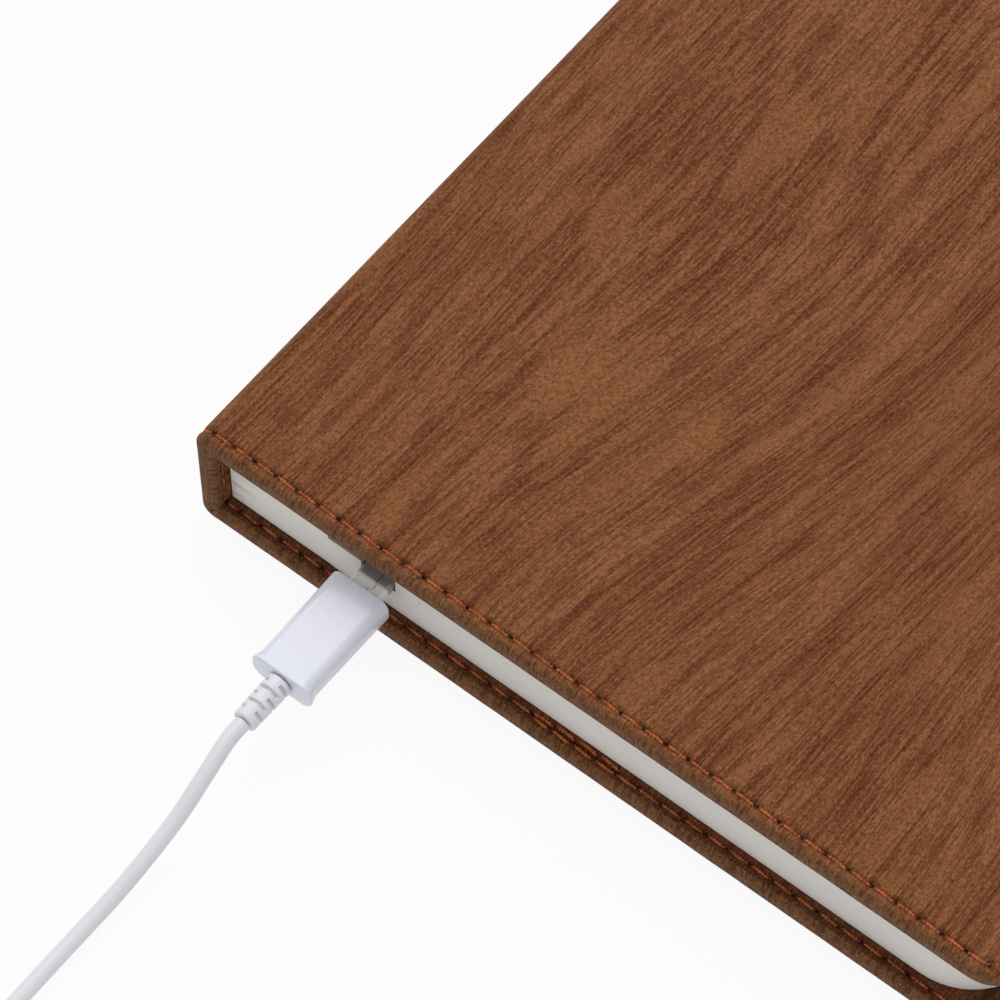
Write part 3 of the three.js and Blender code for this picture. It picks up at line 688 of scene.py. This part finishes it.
farPlug = {
    "front": -110.3,
    "high": 3.8,
    "halfWidth": 7.78,
    "halfHeight": 3.78,
    "round": 2.2,
    "stations": ((0, -0.7), (0.2, -0.3), (0.6, 0), (25.4, 0), (25.8, -0.3), (26.0, -0.7)),
}
farGrip = moulding("farGrip", tailX, farPlug["high"], farPlug, farPlug["stations"])
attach(farGrip, "cable")
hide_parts("wall_plug_body")

# Strain relief: rings on a core, open by turns at the sides and at the top and bottom
relief = {
    "start": -22.6,
    "length": 9.5,
    "radius": 2.48,
    "endRadius": 2.28,
    "coreRadius": 1.62,
    "collar": 1.0,
    "pitch": 1.58,
    "slot": 0.7,
    "slots": 5,
    "halfOpen": 0.55,
    "endRound": 0.22,
    "endReach": 0.25,
    "across": 64,
}


def reliefPiece():
    r = relief
    ends, shoulder, wall = (0.0, 0.04, 0.12, 0.3), 0.12, 0.03
    lengths = list(ends)
    for k in range(r["slots"]):
        low = r["collar"] + k * r["pitch"]
        high = low + r["slot"]
        lengths += [low - shoulder, low - wall, low + wall, high - wall, high + wall, high + shoulder]
    lengths += [r["length"] - step for step in ends[::-1]]
    loops = []
    for at in lengths:
        outer = r["radius"] + (r["endRadius"] - r["radius"]) * at / r["length"]
        toEnd = min(at, r["length"] - at)
        outer -= r["endRound"] * max(0, 1 - toEnd / r["endReach"]) ** 2
        loop = []
        for j in range(r["across"]):
            a = 2 * math.pi * j / r["across"]
            radius = outer
            for k in range(r["slots"]):
                low = r["collar"] + k * r["pitch"]
                if low < at < low + r["slot"]:
                    facing = abs(math.cos(a)) if k % 2 == 0 else abs(math.sin(a))
                    if facing > r["halfOpen"]:
                        radius = r["coreRadius"]
            loop.append(place(cordSizes["portX"] + radius * math.cos(a), r["start"] - at,
                              cordSizes["portZ"] + radius * math.sin(a)))
        loops.append(loop)
    return addPiece("ringRelief", *loft(loops), [reliefPlastic], 32)


ringRelief = reliefPiece()
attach(ringRelief, "cable")
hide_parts("plug_strain_relief")
mm(cordSizes["length"])
mm(cordSizes["diameter"])

nodeFinishes = [
    (shellSteel, "plug_shell"),
    (whiteCase, "core_cap_port"),
    (whitePlastic, "core_cap_top core_tray led_carrier"),
    (diffuserPlastic, "core_diffuser"),
    (tieRubber, "cord_tie"),
    (boardGreen, "charge_board"),
    (stripWhite, "led_strip_front led_strip_back"),
    (cellSleeve, "battery_cell_01 battery_cell_02"),
    (redSleeve, "battery_lead_red"),
    (blackPlastic, "battery_lead_black hall_switch"),
    (nickel, "wall_plug_shell charge_socket tray_screw_01 tray_screw_02 switch_magnet"),
    (nickel, "front_cover_magnet_01 front_cover_magnet_02 back_cover_magnet_01 back_cover_magnet_02"),
]
for finish, names in nodeFinishes:
    for node in names.split():
        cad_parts[node].data.materials.clear()
        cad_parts[node].data.materials.append(finish)
print("cable laid")

# Covers: leather over board, round at both edges, mitred round the hinge roll
case = {
    "edgeRadius": 1.35,
    "bandInset": 0.03,
    "hingeInset": 1.0,
    "rollRadius": 2.25,
    "jointGap": 0.09,
    "cornerRadius": 3.0,
    "stripThickness": 0.45,
    "lipDepth": 2.3,
    "lipThickness": 0.6,
    "seamGroove": 0.40,
    "innerSeamInset": 2.45,
    "edgeWave": 0.05,
    "seamEnd": 0.5,
    "spineRun": 9.5,
    "panelStops": (9.0, 4.5, 4.3),
    "spineStops": (4.9, 4.6, 3.8, 3.0),
    "coverStops": (3.0, 3.4, 3.8, 4.1),
    "tuckDepth": 0.05,
    "tuckStep": 0.03,
    "bendEnds": ((0.5, 3.4), (3.4, 0.6)),  # x, and depth below the outer face
}
hingeZ = book["thickness"] - case["hingeInset"]
edgeTurn = math.pi * case["edgeRadius"] + book["cover"] - 2 * case["edgeRadius"]


# The outer seam's pressed groove: distance in from the edge, and depth
def grooveRows():
    side, groove = leather["seamInset"], case["seamGroove"]
    rows = [(side + 1.1, 0), (side + 0.62, 0.04), (side + 0.3, groove * 0.8), (side, groove)]
    return rows + [(side - 0.3, groove * 0.8), (side - 0.65, 0.04)]


# Rows from the outer face round the edge to the inner face: distance in, depth, way along the skin
def edgeProfile():
    r, thick, groove = case["edgeRadius"], book["cover"], case["seamGroove"]
    rows = [(d, h, d - r) for d, h in [(6.0, 0)] + grooveRows()]
    for k in range(1, 7):
        a = math.pi / 2 * k / 6
        rows.append((r - r * math.sin(a) + case["bandInset"] * k / 6, r - r * math.cos(a), -r * a))
    flat = thick - 2 * r
    rows += [(case["bandInset"], r + flat * k / 3, -r * math.pi / 2 - flat * k / 3) for k in range(1, 3)]
    for k in range(0, 6):
        a = math.pi / 2 * k / 6
        rows.append((r - r * math.cos(a) + case["bandInset"] * (1 - k / 6), thick - r + r * math.sin(a),
                     -r * math.pi / 2 - flat - r * a))
    seam = case["innerSeamInset"]
    inner = [(1.6, 0.0), (seam - 0.4, groove * 0.5), (seam, groove), (seam + 0.4, groove * 0.5)]
    return rows + [(d, thick - h, r - edgeTurn - d) for d, h in inner + [(seam + 0.9, 0), (6, 0)]]


# A round corner of a plan, without its ends: places, and the way inwards at each
def corner(cx, cy, r, first, steps):
    angles = [first + math.pi / 2 * k / steps for k in range(1, steps)]
    return [((cx + r * math.cos(a), cy + r * math.sin(a)), (-math.cos(a), -math.sin(a))) for a in angles]


def coverPath():
    w, top, r, start = book["width"], book["height"], book["foreRadius"], book["cover"]
    ends, fore = 48, 60
    path = [((start + (w - r - start) * k / ends, 0.0), (0.0, 1.0)) for k in range(ends + 1)]
    path += corner(w - r, r, r, -math.pi / 2, 10)
    path += [((w, r + (top - 2 * r) * k / fore), (-1.0, 0.0)) for k in range(fore + 1)]
    path += corner(w - r, top - r, r, 0, 10)
    return path + [((w - r - (w - r - start) * k / ends, top), (0.0, -1.0)) for k in range(ends + 1)]


def hingeReach(z):
    gap = case["jointGap"]
    r = case["rollRadius"] + gap
    if z <= hingeZ - r / math.sqrt(2):
        return case["hingeInset"] + hingeZ - z + gap
    return case["hingeInset"] + math.sqrt(max(r * r - (z - hingeZ) ** 2, 0))


# Material 0 is the outer leather, and 1 the lining on the innermost rows, which is painted darker as shade
def coverPiece(name, front):
    rows = edgeProfile()
    path = coverPath()
    last = len(path) - 1
    liningRows = 7
    points, sheet, faces, kinds = [], [], [], []
    for i, ((px, py), (nx, ny)) in enumerate(path):
        inner = 0 < i < last
        wave = 0
        if 2 < i < last - 2:
            wave = case["edgeWave"] * (math.sin(i * 1.7) * math.sin(i * 0.43) + 1) / 2
        for d, h, s in rows:
            side = d + wave * max(0, 1 - d / 1.5)
            x, y, z = px + nx * side, py + ny * side, book["thickness"] - h
            if not inner:
                z -= 0.03 if h < 1 else 0
                x = hingeReach(z)
            flatX = x if ny and not nx else px + nx * s + nx * case["edgeRadius"]
            flatY = py + ny * (s + case["edgeRadius"]) if ny else y
            points.append((x, y, z))
            sheet.append((mm(flatX + leather["seamShift"]), mm(flatY), mm(h)))
    count = len(rows)
    for i in range(last):
        for j in range(count - 1):
            a = i * count + j
            faces.append((a, a + 1, a + 1 + count, a + count))
            kinds.append(0 if j < count - liningRows else 1)
    base = last * count
    faces.append(tuple(i * count for i in range(len(path))))
    kinds.append(0)
    faces.append(tuple(i * count + count - 1 for i in range(len(path)))[::-1])
    kinds.append(1)
    for j in range(count - 1):
        faces.append((j, j + 1, base + j + 1, base + j))
        kinds.append(0)
    if not front:
        points = [(x, y, book["thickness"] - z) for x, y, z in points]
    return addPiece(name, [place(*p) for p in points], faces, [woodLeather, liningInShade],
                    faceMaterials=kinds, sheet=sheet)


frontCover = coverPiece("frontCover", True)
backCover = coverPiece("backCover", False)


# Spine panel with the hinge rolls along both long edges, drawn at an inset from its faces. Each point
# is x, z and its kind: 0 on the outer face, 1 at the bend, 2 on the inner face.
def spineSection(inset):
    r, thick, top = case["rollRadius"], book["cover"], book["thickness"]
    hx, cut, bend = case["hingeInset"], case["stripThickness"], case["cornerRadius"]
    face = max(inset, 0)
    flat, lip, ledge = [top - stop for stop in case["panelStops"]]
    upper = [(face, midZ, 0), (face, flat, 0), (face + 0.02, lip, 0), (max(cut, face), ledge, 1)]
    depth = max(cut, inset + 0.03)
    for k in range(8):
        a = math.pi - math.pi / 2 * k / 7
        upper.append((bend + (bend - depth) * math.cos(a), top - bend + (bend - depth) * math.sin(a), 1))
    high = top - depth
    a0 = math.asin(max(-0.7, (high - hingeZ) / r))
    for k in range(9):
        a = a0 + (-math.pi / 4 - a0) * k / 8
        upper.append((hx + r * math.cos(a), hingeZ + r * math.sin(a), 1))
    inner = thick - inset
    upper.append((inner, top - inner - case["jointGap"], 2))
    upper += [(inner, flat, 2), (inner, midZ, 2)]
    lower = [(x, top - z, kind) for x, z, kind in upper[::-1]][1:-1]
    return upper + lower


def spinePiece():
    r, top, groove = case["edgeRadius"], book["height"], case["seamGroove"]
    seam, outerSeam = case["innerSeamInset"], leather["seamInset"]
    ends = []
    for k in range(7):
        a = math.pi / 2 * k / 6
        ends.append((r - r * math.cos(a) + case["bandInset"] * (1 - k / 6), r - r * math.sin(a)))
    marks = [1.6, 2.0, outerSeam, 2.65, 2.9, 3.4]
    ys = ends + [(y, 0.0) for y in marks]
    ys += [(marks[-1] + (top - 2 * marks[-1]) * k / 24, 0.0) for k in range(1, 24)]
    ys += [(top - y, 0.0) for y in marks[::-1]] + [(top - y, e) for y, e in ends[::-1]]
    loops, sheets = [], []
    for y, inset in ys:
        end = min(y, top - y)
        outerDip = groove * max(0, 1 - abs(end - outerSeam) / 0.45)
        innerDip = groove * max(0, 1 - abs(end - seam) / 0.5)
        loop = []
        for x, z, kind in spineSection(inset):
            if kind == 0:
                x += outerDip
            if kind == 2:
                x -= innerDip
            loop.append((x, y, z))
            if end < r:
                way = r * math.acos(min(1, max(0, 1 - inset / r)))
                s = -way if x < book["cover"] / 2 else way - edgeTurn
            else:
                s = end - r if x < book["cover"] / 2 else r - edgeTurn - end
            flat = s + r
            height = z if z > midZ else book["thickness"] - z
            u = height - (book["thickness"] - case["cornerRadius"]) + case["spineRun"]
            if kind == 2:
                u = height - book["thickness"] + 2 * book["cover"] + leather["seamShift"] - book["cover"]
            sheets.append((mm(u), mm(flat if y < top / 2 else top - flat), mm(x)))
        loops.append(loop)
    points, faces = loft(loops)
    return addPiece("spinePanel", [place(*p) for p in points], faces, [woodLeather], sheet=sheets)


spinePanel = spinePiece()


# Leather over the hinge: it bends between the spine and a cover, and turns over both ends of the band
def hingeStrip(name, front):
    bend, thick = case["cornerRadius"], case["stripThickness"]
    top, r, high = book["height"], case["edgeRadius"], book["thickness"]
    down, over, tuck = case["spineStops"], case["coverStops"], case["tuckDepth"]
    rail = [((0.0, high - stop), (1.0, 0.0), tuck if stop == down[0] else 0.0) for stop in down]
    for k in range(1, 12):
        a = math.pi - math.pi / 2 * k / 12
        spot = (bend + bend * math.cos(a), high - bend + bend * math.sin(a))
        rail.append((spot, (-math.cos(a), -math.sin(a)), 0.0))
    rail += [((stop, high), (0.0, -1.0), tuck if stop == over[-1] else 0.0) for stop in over]
    length = [0.0]
    for (a, _, _), (b, _, _) in zip(rail, rail[1:]):
        length.append(length[-1] + math.hypot(b[0] - a[0], b[1] - a[1]))
    lip, sheetThick, side = case["lipDepth"], case["lipThickness"], leather["seamInset"]
    ways = (3.2, 3.0, 2.7, side, side - 0.3, side - 0.65)
    cross = [(y, h, v) for (y, h), v in zip(grooveRows(), ways)]
    for k in range(7):
        a = math.pi / 2 * k / 6
        cross.append((r - r * math.sin(a), r - r * math.cos(a), r - r * a))
    for y, h in ((0.0, lip - 0.2), (0.06, lip)):
        cross.append((y, h, r - r * math.pi / 2 - (h - r)))
    cross += [(sheetThick, lip, -2.0), (sheetThick + 0.5, thick + 0.4, 1.0), (1.8, thick + 0.05, 1.8)]
    loops, sheet = [], []
    for ((x, z), (nx, nz), under), run in zip(rail, length):
        loop = []
        full = cross + [(top - y, h, top - v) for y, h, v in cross[::-1]]
        for y, h, v in full:
            depth = h + under
            inwards = math.copysign(case["tuckStep"], top / 2 - y) if under else 0
            loop.append((x + nx * depth, y + inwards, z + nz * depth))
            sheet.append((mm(case["spineRun"] - 1.9 + run), mm(v), mm(h)))
        loops.append(loop)
    points, faces = loft(loops)
    if not front:
        points = [(x, y, high - z) for x, y, z in points]
    return addPiece(name, [place(*p) for p in points], faces, [woodLeather], sheet=sheet)


frontHinge = hingeStrip("frontHinge", True)
backHinge = hingeStrip("backHinge", False)
print("case covered")

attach(frontCover, "front_cover")
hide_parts("front_cover_skin", "front_cover_board", "front_cover_lining")
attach(backCover, "back_cover")
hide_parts("back_cover_skin", "back_cover_board", "back_cover_lining")
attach(spinePanel, "spine")
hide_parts("spine_skin", "spine_board", "spine_lining")
midY = book["height"] / 2
bends = {
    "front": [place(x, midY, book["thickness"] - depth) for x, depth in case["bendEnds"]],
    "back": [place(x, midY, depth) for x, depth in case["bendEnds"]],
}
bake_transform(frontHinge)
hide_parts("front_hinge_roll")
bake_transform(backHinge)
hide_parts("back_hinge_roll")

# Seams: a thread along each path, up between the needle holes and down at them
seam = {
    "radius": 0.40,
    "valley": 0.24,
    "plies": 3,
    "lift": -0.40,
    "dive": 0.8,
    "slant": 0.4,
    "twistPitch": 2.0,
    "thin": 0.72,
    "stepsPerStitch": 20,
    "arch": 0.3,
    "around": 12,
    "spineShift": 1.6,
    "ending": ((70, 0, 0), (77, 0.55, 1), (84, 0.7, 1), (91, 0.7, 1)),  # x, aside, share of the rise
    "starting": ((73, -0.65, 1), (86, -0.65, 1), (95, -0.4, 0.8)),
    "overlapEnd": 108,
}


# The tree that sweeps a thread along a seam's path, and the identifiers of its inputs
def sweptThread():
    tree = bpy.data.node_groups.new("seamThread", "GeometryNodeTree")
    for way in ("INPUT", "OUTPUT"):
        tree.interface.new_socket("Geometry", in_out=way, socket_type="NodeSocketGeometry")
    keys = {}
    for name, value in (
        ("Pitch", mm(leather["seamPitch"])), ("Shift", 0.0), ("Radius", mm(seam["radius"])),
        ("Lift", mm(seam["lift"])), ("Dive", mm(seam["dive"])), ("Slant", mm(seam["slant"])),
        ("Twist Pitch", mm(seam["twistPitch"])), ("Valley", mm(seam["valley"])), ("Thin", seam["thin"]),
    ):
        socket = tree.interface.new_socket(name, in_out="INPUT", socket_type="NodeSocketFloat")
        socket.default_value = value
        keys[name] = socket.identifier
    made = Graph(tree)
    entry = made.node("NodeGroupInput").socket.node
    given = {socket.name: Wire(made, socket) for socket in entry.outputs}

    def geometry(kind, settings=None, **inputs):
        named = {key.replace("_", " "): value for key, value in inputs.items()}
        return made.node("GeometryNode" + kind, settings, named)

    def vectors(how, first, second, key=1):
        return made.node("ShaderNodeVectorMath", {"operation": how}, {0: first, key: second})

    # Along the path: the share of a stitch, and how high and how far aside the thread runs there
    step = given["Pitch"] / seam["stepsPerStitch"]
    path = geometry("MeshToCurve", Mesh=given["Geometry"])
    path = geometry("ResampleCurve", {"mode": "LENGTH"}, Curve=path, Length=step)
    along = made.node("GeometryNodeSplineParameter", output="Length")
    phase = ((along + given["Shift"]) / given["Pitch"]).math("FRACT")
    arch = (phase * math.pi).math("SINE").math("POWER", seam["arch"])
    height = given["Lift"] - (1.0 - arch) * given["Dive"]
    swing = (phase - 0.5) * given["Slant"]
    facing = geometry("InputNamedAttribute", {"data_type": "FLOAT_VECTOR"}, Name="facing")
    sideways = vectors("CROSS_PRODUCT", geometry("InputTangent"), facing)
    rise, aside = vectors("SCALE", facing, height, "Scale"), vectors("SCALE", sideways, swing, "Scale")
    path = geometry("SetPosition", Geometry=path, Offset=vectors("ADD", rise, aside))
    path = geometry("SetCurveTilt", Curve=path, Tilt=along / given["Twist Pitch"] * (2 * math.pi))
    path = geometry("SetCurveRadius", Curve=path, Radius=arch * (1.0 - given["Thin"]) + given["Thin"])

    # Across it: the round-cornered star that the twisted plies make
    valley, radius = given["Valley"], given["Radius"]
    star = geometry("CurveStar", Points=seam["plies"], Inner_Radius=valley, Outer_Radius=radius, Twist=0.0)
    star = geometry("CurveSplineType", {"spline_type": "CATMULL_ROM"}, Curve=star)
    star = geometry("ResampleCurve", {"mode": "COUNT"}, Curve=star, Count=seam["around"])
    thread = geometry("CurveToMesh", Curve=path, Profile_Curve=star, Fill_Caps=True)
    thread = geometry("RealizeInstances", Geometry=thread)
    thread = geometry("SetMaterial", Geometry=thread, Material=seamThread)
    made.node("NodeGroupOutput", None, {"Geometry": thread})
    return tree, keys


threadTree, threadKeys = sweptThread()


# A seam's path: its places, and the way that the leather faces at each
def seamPath(name, line):
    mesh = bpy.data.meshes.new(name + "Path")
    mesh.from_pydata([place(*spot) for spot, _ in line], [(k, k + 1) for k in range(len(line) - 1)], [])
    field = mesh.attributes.new("facing", "FLOAT_VECTOR", "POINT")
    field.data.foreach_set("vector", [c for _, face in line for c in face])
    return mesh


# The shift says how far a thread's start lies past a needle hole
def sewn(name, line, shift, mirrored):
    if mirrored:
        line = [((x, y, book["thickness"] - z), (nx, ny, -nz)) for (x, y, z), (nx, ny, nz) in line]
    pathObject = bpy.data.objects.new(name + "Path", seamPath(name, line))
    bpy.context.scene.collection.objects.link(pathObject)
    modifier = pathObject.modifiers.new("thread", "NODES")
    modifier.node_group = threadTree
    modifier[threadKeys["Shift"]] = mm(shift)
    bpy.context.view_layer.update()
    ready = pathObject.evaluated_get(bpy.context.evaluated_depsgraph_get())
    mesh = bpy.data.meshes.new_from_object(ready)
    bpy.data.objects.remove(pathObject)
    mesh.name = name
    thread = bpy.data.objects.new(name, mesh)
    bpy.context.scene.collection.objects.link(thread)
    cleanNormals(mesh)
    mesh.polygons.foreach_set("use_smooth", [True] * len(mesh.polygons))
    return thread


# A seam's way round the two fore corners
def foreArcs(side):
    fore, steps, arcs = book["foreRadius"], 10, []
    x, r = book["width"] - fore, fore - side
    for y, first in ((fore, -math.pi / 2), (book["height"] - fore, 0)):
        for k in range(steps + 1):
            a = first + math.pi / 2 * k / steps
            arcs.append((x + r * math.cos(a), y + r * math.sin(a)))
    return arcs


def outerSeamLine():
    high, side, bend = book["thickness"], leather["seamInset"], case["cornerRadius"]
    hinge = [((0.0, midZ), (-1, 0)), ((0.0, high - bend), (-1, 0))]
    for k in range(1, 13):
        a = math.pi - math.pi / 2 * k / 12
        across, up = math.cos(a), math.sin(a)
        hinge.append(((bend + bend * across, high - bend + bend * up), (across, up)))
    line = [((x, side, z), (nx, 0, nz)) for (x, z), (nx, nz) in hinge]
    line += [((x, y, high), (0, 0, 1)) for x, y in foreArcs(side)]
    return line + [((x, book["height"] - side, z), (nx, 0, nz)) for (x, z), (nx, nz) in hinge[::-1]]


def innerSeamLine(start=()):
    low, side = book["thickness"] - book["cover"], case["innerSeamInset"]
    first = book["cover"] + case["seamEnd"]
    edge = (list(start) or [(first, side)]) + foreArcs(side) + [(first, book["height"] - side)]
    return [((x, y, low), (0, 0, -1)) for x, y in edge]


# On the back cover the first seam ends beside the page block, where the second one has begun. Beside
# the pressed groove a thread lies higher.
def overlapLines():
    low, side = book["thickness"] - book["cover"], case["innerSeamInset"]
    proud = case["seamGroove"] * 0.75
    lines = []
    for stops in (((book["cover"] + case["seamEnd"], 0, 0), *seam["ending"]), seam["starting"]):
        lines.append([((x, side + aside, low - rise * proud), (0, 0, -1)) for x, aside, rise in stops])
    return lines[0], lines[1] + innerSeamLine([(seam["overlapEnd"], side)])


def spineSeamLine(y):
    x, low = book["cover"], book["cover"] + case["seamEnd"]
    return [((x, y, low), (1, 0, 0)), ((x, y, book["thickness"] - low), (1, 0, 0))]


seamEnding, seamStarting = overlapLines()
outerShift = midZ - (book["thickness"] - case["cornerRadius"]) + case["spineRun"]
innerShift = book["cover"] + case["seamEnd"] + leather["seamShift"]
lowSeam = case["innerSeamInset"]
threads = {
    "frontSeam": ("front", outerSeamLine(), outerShift, False),
    "backSeam": ("back", outerSeamLine(), outerShift, True),
    "frontInnerSeam": ("front_cover", innerSeamLine(), innerShift, False),
    "backInnerSeam": ("back_cover", seamStarting, seam["starting"][0][0] + leather["seamShift"], True),
    "backSeamEnd": ("back_cover", seamEnding, innerShift, True),
    "spineSeamLow": ("spine", spineSeamLine(lowSeam), seam["spineShift"], False),
    "spineSeamHigh": ("spine", spineSeamLine(book["height"] - lowSeam), seam["spineShift"], False),
}
for name, (body, line, shift, mirrored) in threads.items():
    thread = sewn(name, line, shift, mirrored)
    if body in bends:
        body + "_cover"
        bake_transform(thread)
    else:
        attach(thread, body)
print("seams sewn")

# Page leaves fill the stack between the covers, each ending just clear of the core
pages = {
    "count": 16,
    "gap": 0.012,
    "coreGap": 0.012,
    "coreStart": 26.7,
    "coreReach": 20.0,
    "coreHalf": 8.4,
    "edgeRound": 0.03,
    "stackGap": 0.1,
}


def leafPiece(index):
    p = pages
    stack = book["thickness"] - 2 * book["cover"] - p["stackGap"]
    pitch = stack / p["count"]
    thick = pitch - p["gap"]
    centre = pitch * (index - (p["count"] - 1) / 2)
    low, high = book["pageMargin"], book["height"] - book["pageMargin"]
    fore, r = book["width"] - book["pageMargin"], book["pageRadius"]
    path = [((fore - r, low), (0, 1))] + corner(fore - r, low + r, r, -math.pi / 2, 12)
    path += [((fore, low + r), (-1, 0)), ((fore, high - r), (-1, 0))]
    path += corner(fore - r, high - r, r, 0, 12) + [((fore - r, high), (0, -1))]
    e = p["edgeRound"]
    loops = []
    for d, h in [(e, 0.0), (0.0, e), (0.0, thick / 2), (0.0, thick - e), (e, thick)]:
        above = centre - thick / 2 + h
        share = min(abs(above) / p["coreHalf"], 1)
        start = p["coreStart"] + p["coreReach"] * math.sqrt(1 - share * share) + p["coreGap"]
        loop = [(x + nx * d, y + ny * d) for (x, y), (nx, ny) in path]
        loop = [(start, low + d)] + loop + [(start, high - d)]
        loops.append([(x, y, midZ + above) for x, y in loop])
    points, faces = loft(loops)
    name = "pageSheet" + str(index + 1).zfill(2)
    return addPiece(name, [place(*q) for q in points], faces, [pagePaper], 30)


for index in range(pages["count"]):
    leaf = leafPiece(index)
    node = "page_leaf_" + str(index + 1).zfill(2)
    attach(leaf, node)
    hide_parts(node)
print("pages in")

# Floor, backdrop and light. Seen by the camera the floor is near white and keeps a faint shadow.
stage = {
    "floor": 6.0,
    "floorHeight": -0.0002,
    "floorAlbedo": 0.86,
    "floorGlow": 0.92,
    "glowLevel": 1.0,
    "sky": 0.62,
    "skySeen": 0.97,
    "window": 10.8,
    "windowSize": 1.4,
    "windowPlace": (-0.55, 0.58, 1.34),
}
floorFinish = Finish("floorPale")
floorFinish.set(Base_Color=(stage["floorAlbedo"],) * 3, Roughness=0.9)
glow = floorFinish.node("ShaderNodeEmission", None, {"Color": (1, 1, 1), "Strength": stage["glowLevel"]})
seen = [floorFinish.node("ShaderNodeLightPath", output=key)
        for key in ("Is Camera Ray", "Is Glossy Ray", "Is Transmission Ray")]
share = seen[0].most(seen[1]).most(seen[2]) * stage["floorGlow"]
both = floorFinish.node("ShaderNodeMixShader", None, {0: share, 1: floorFinish.shader, 2: glow})
floorFinish.wire(floorFinish.output.inputs["Surface"], both)
floorMesh = bpy.data.meshes.new("floor")
span, under = stage["floor"] / 2, stage["floorHeight"]
corners = [(-span, -span, under), (span, -span, under), (span, span, under), (-span, span, under)]
floorMesh.from_pydata(corners, [], [(0, 1, 2, 3)])
floorMesh.materials.append(floorFinish.material)
floor = bpy.data.objects.new("floor", floorMesh)
bpy.context.scene.collection.objects.link(floor)

world = bpy.data.worlds.new("studio")
bpy.context.scene.world = world
world.use_nodes = True
sky, background = Graph(world.node_tree), world.node_tree.nodes["Background"]
skyRay = sky.node("ShaderNodeLightPath", output="Is Camera Ray")
levels = {"Value": skyRay, "To Min": stage["sky"], "To Max": stage["skySeen"]}
sky.wire(background.inputs["Color"], (1, 1, 1))
sky.wire(background.inputs["Strength"], sky.node("ShaderNodeMapRange", None, levels))
lamp = bpy.data.lights.new("window", "AREA")
lamp.energy = stage["window"]
lamp.size = stage["windowSize"]
lampObject = bpy.data.objects.new("window", lamp)
lampObject.location = stage["windowPlace"]
lampObject.rotation_mode = "QUATERNION"
lampObject.rotation_quaternion = (-Vector(stage["windowPlace"])).to_track_quat("-Z", "Y")
bpy.context.scene.collection.objects.link(lampObject)
bpy.context.scene.view_settings.view_transform = "Standard"

print("done")
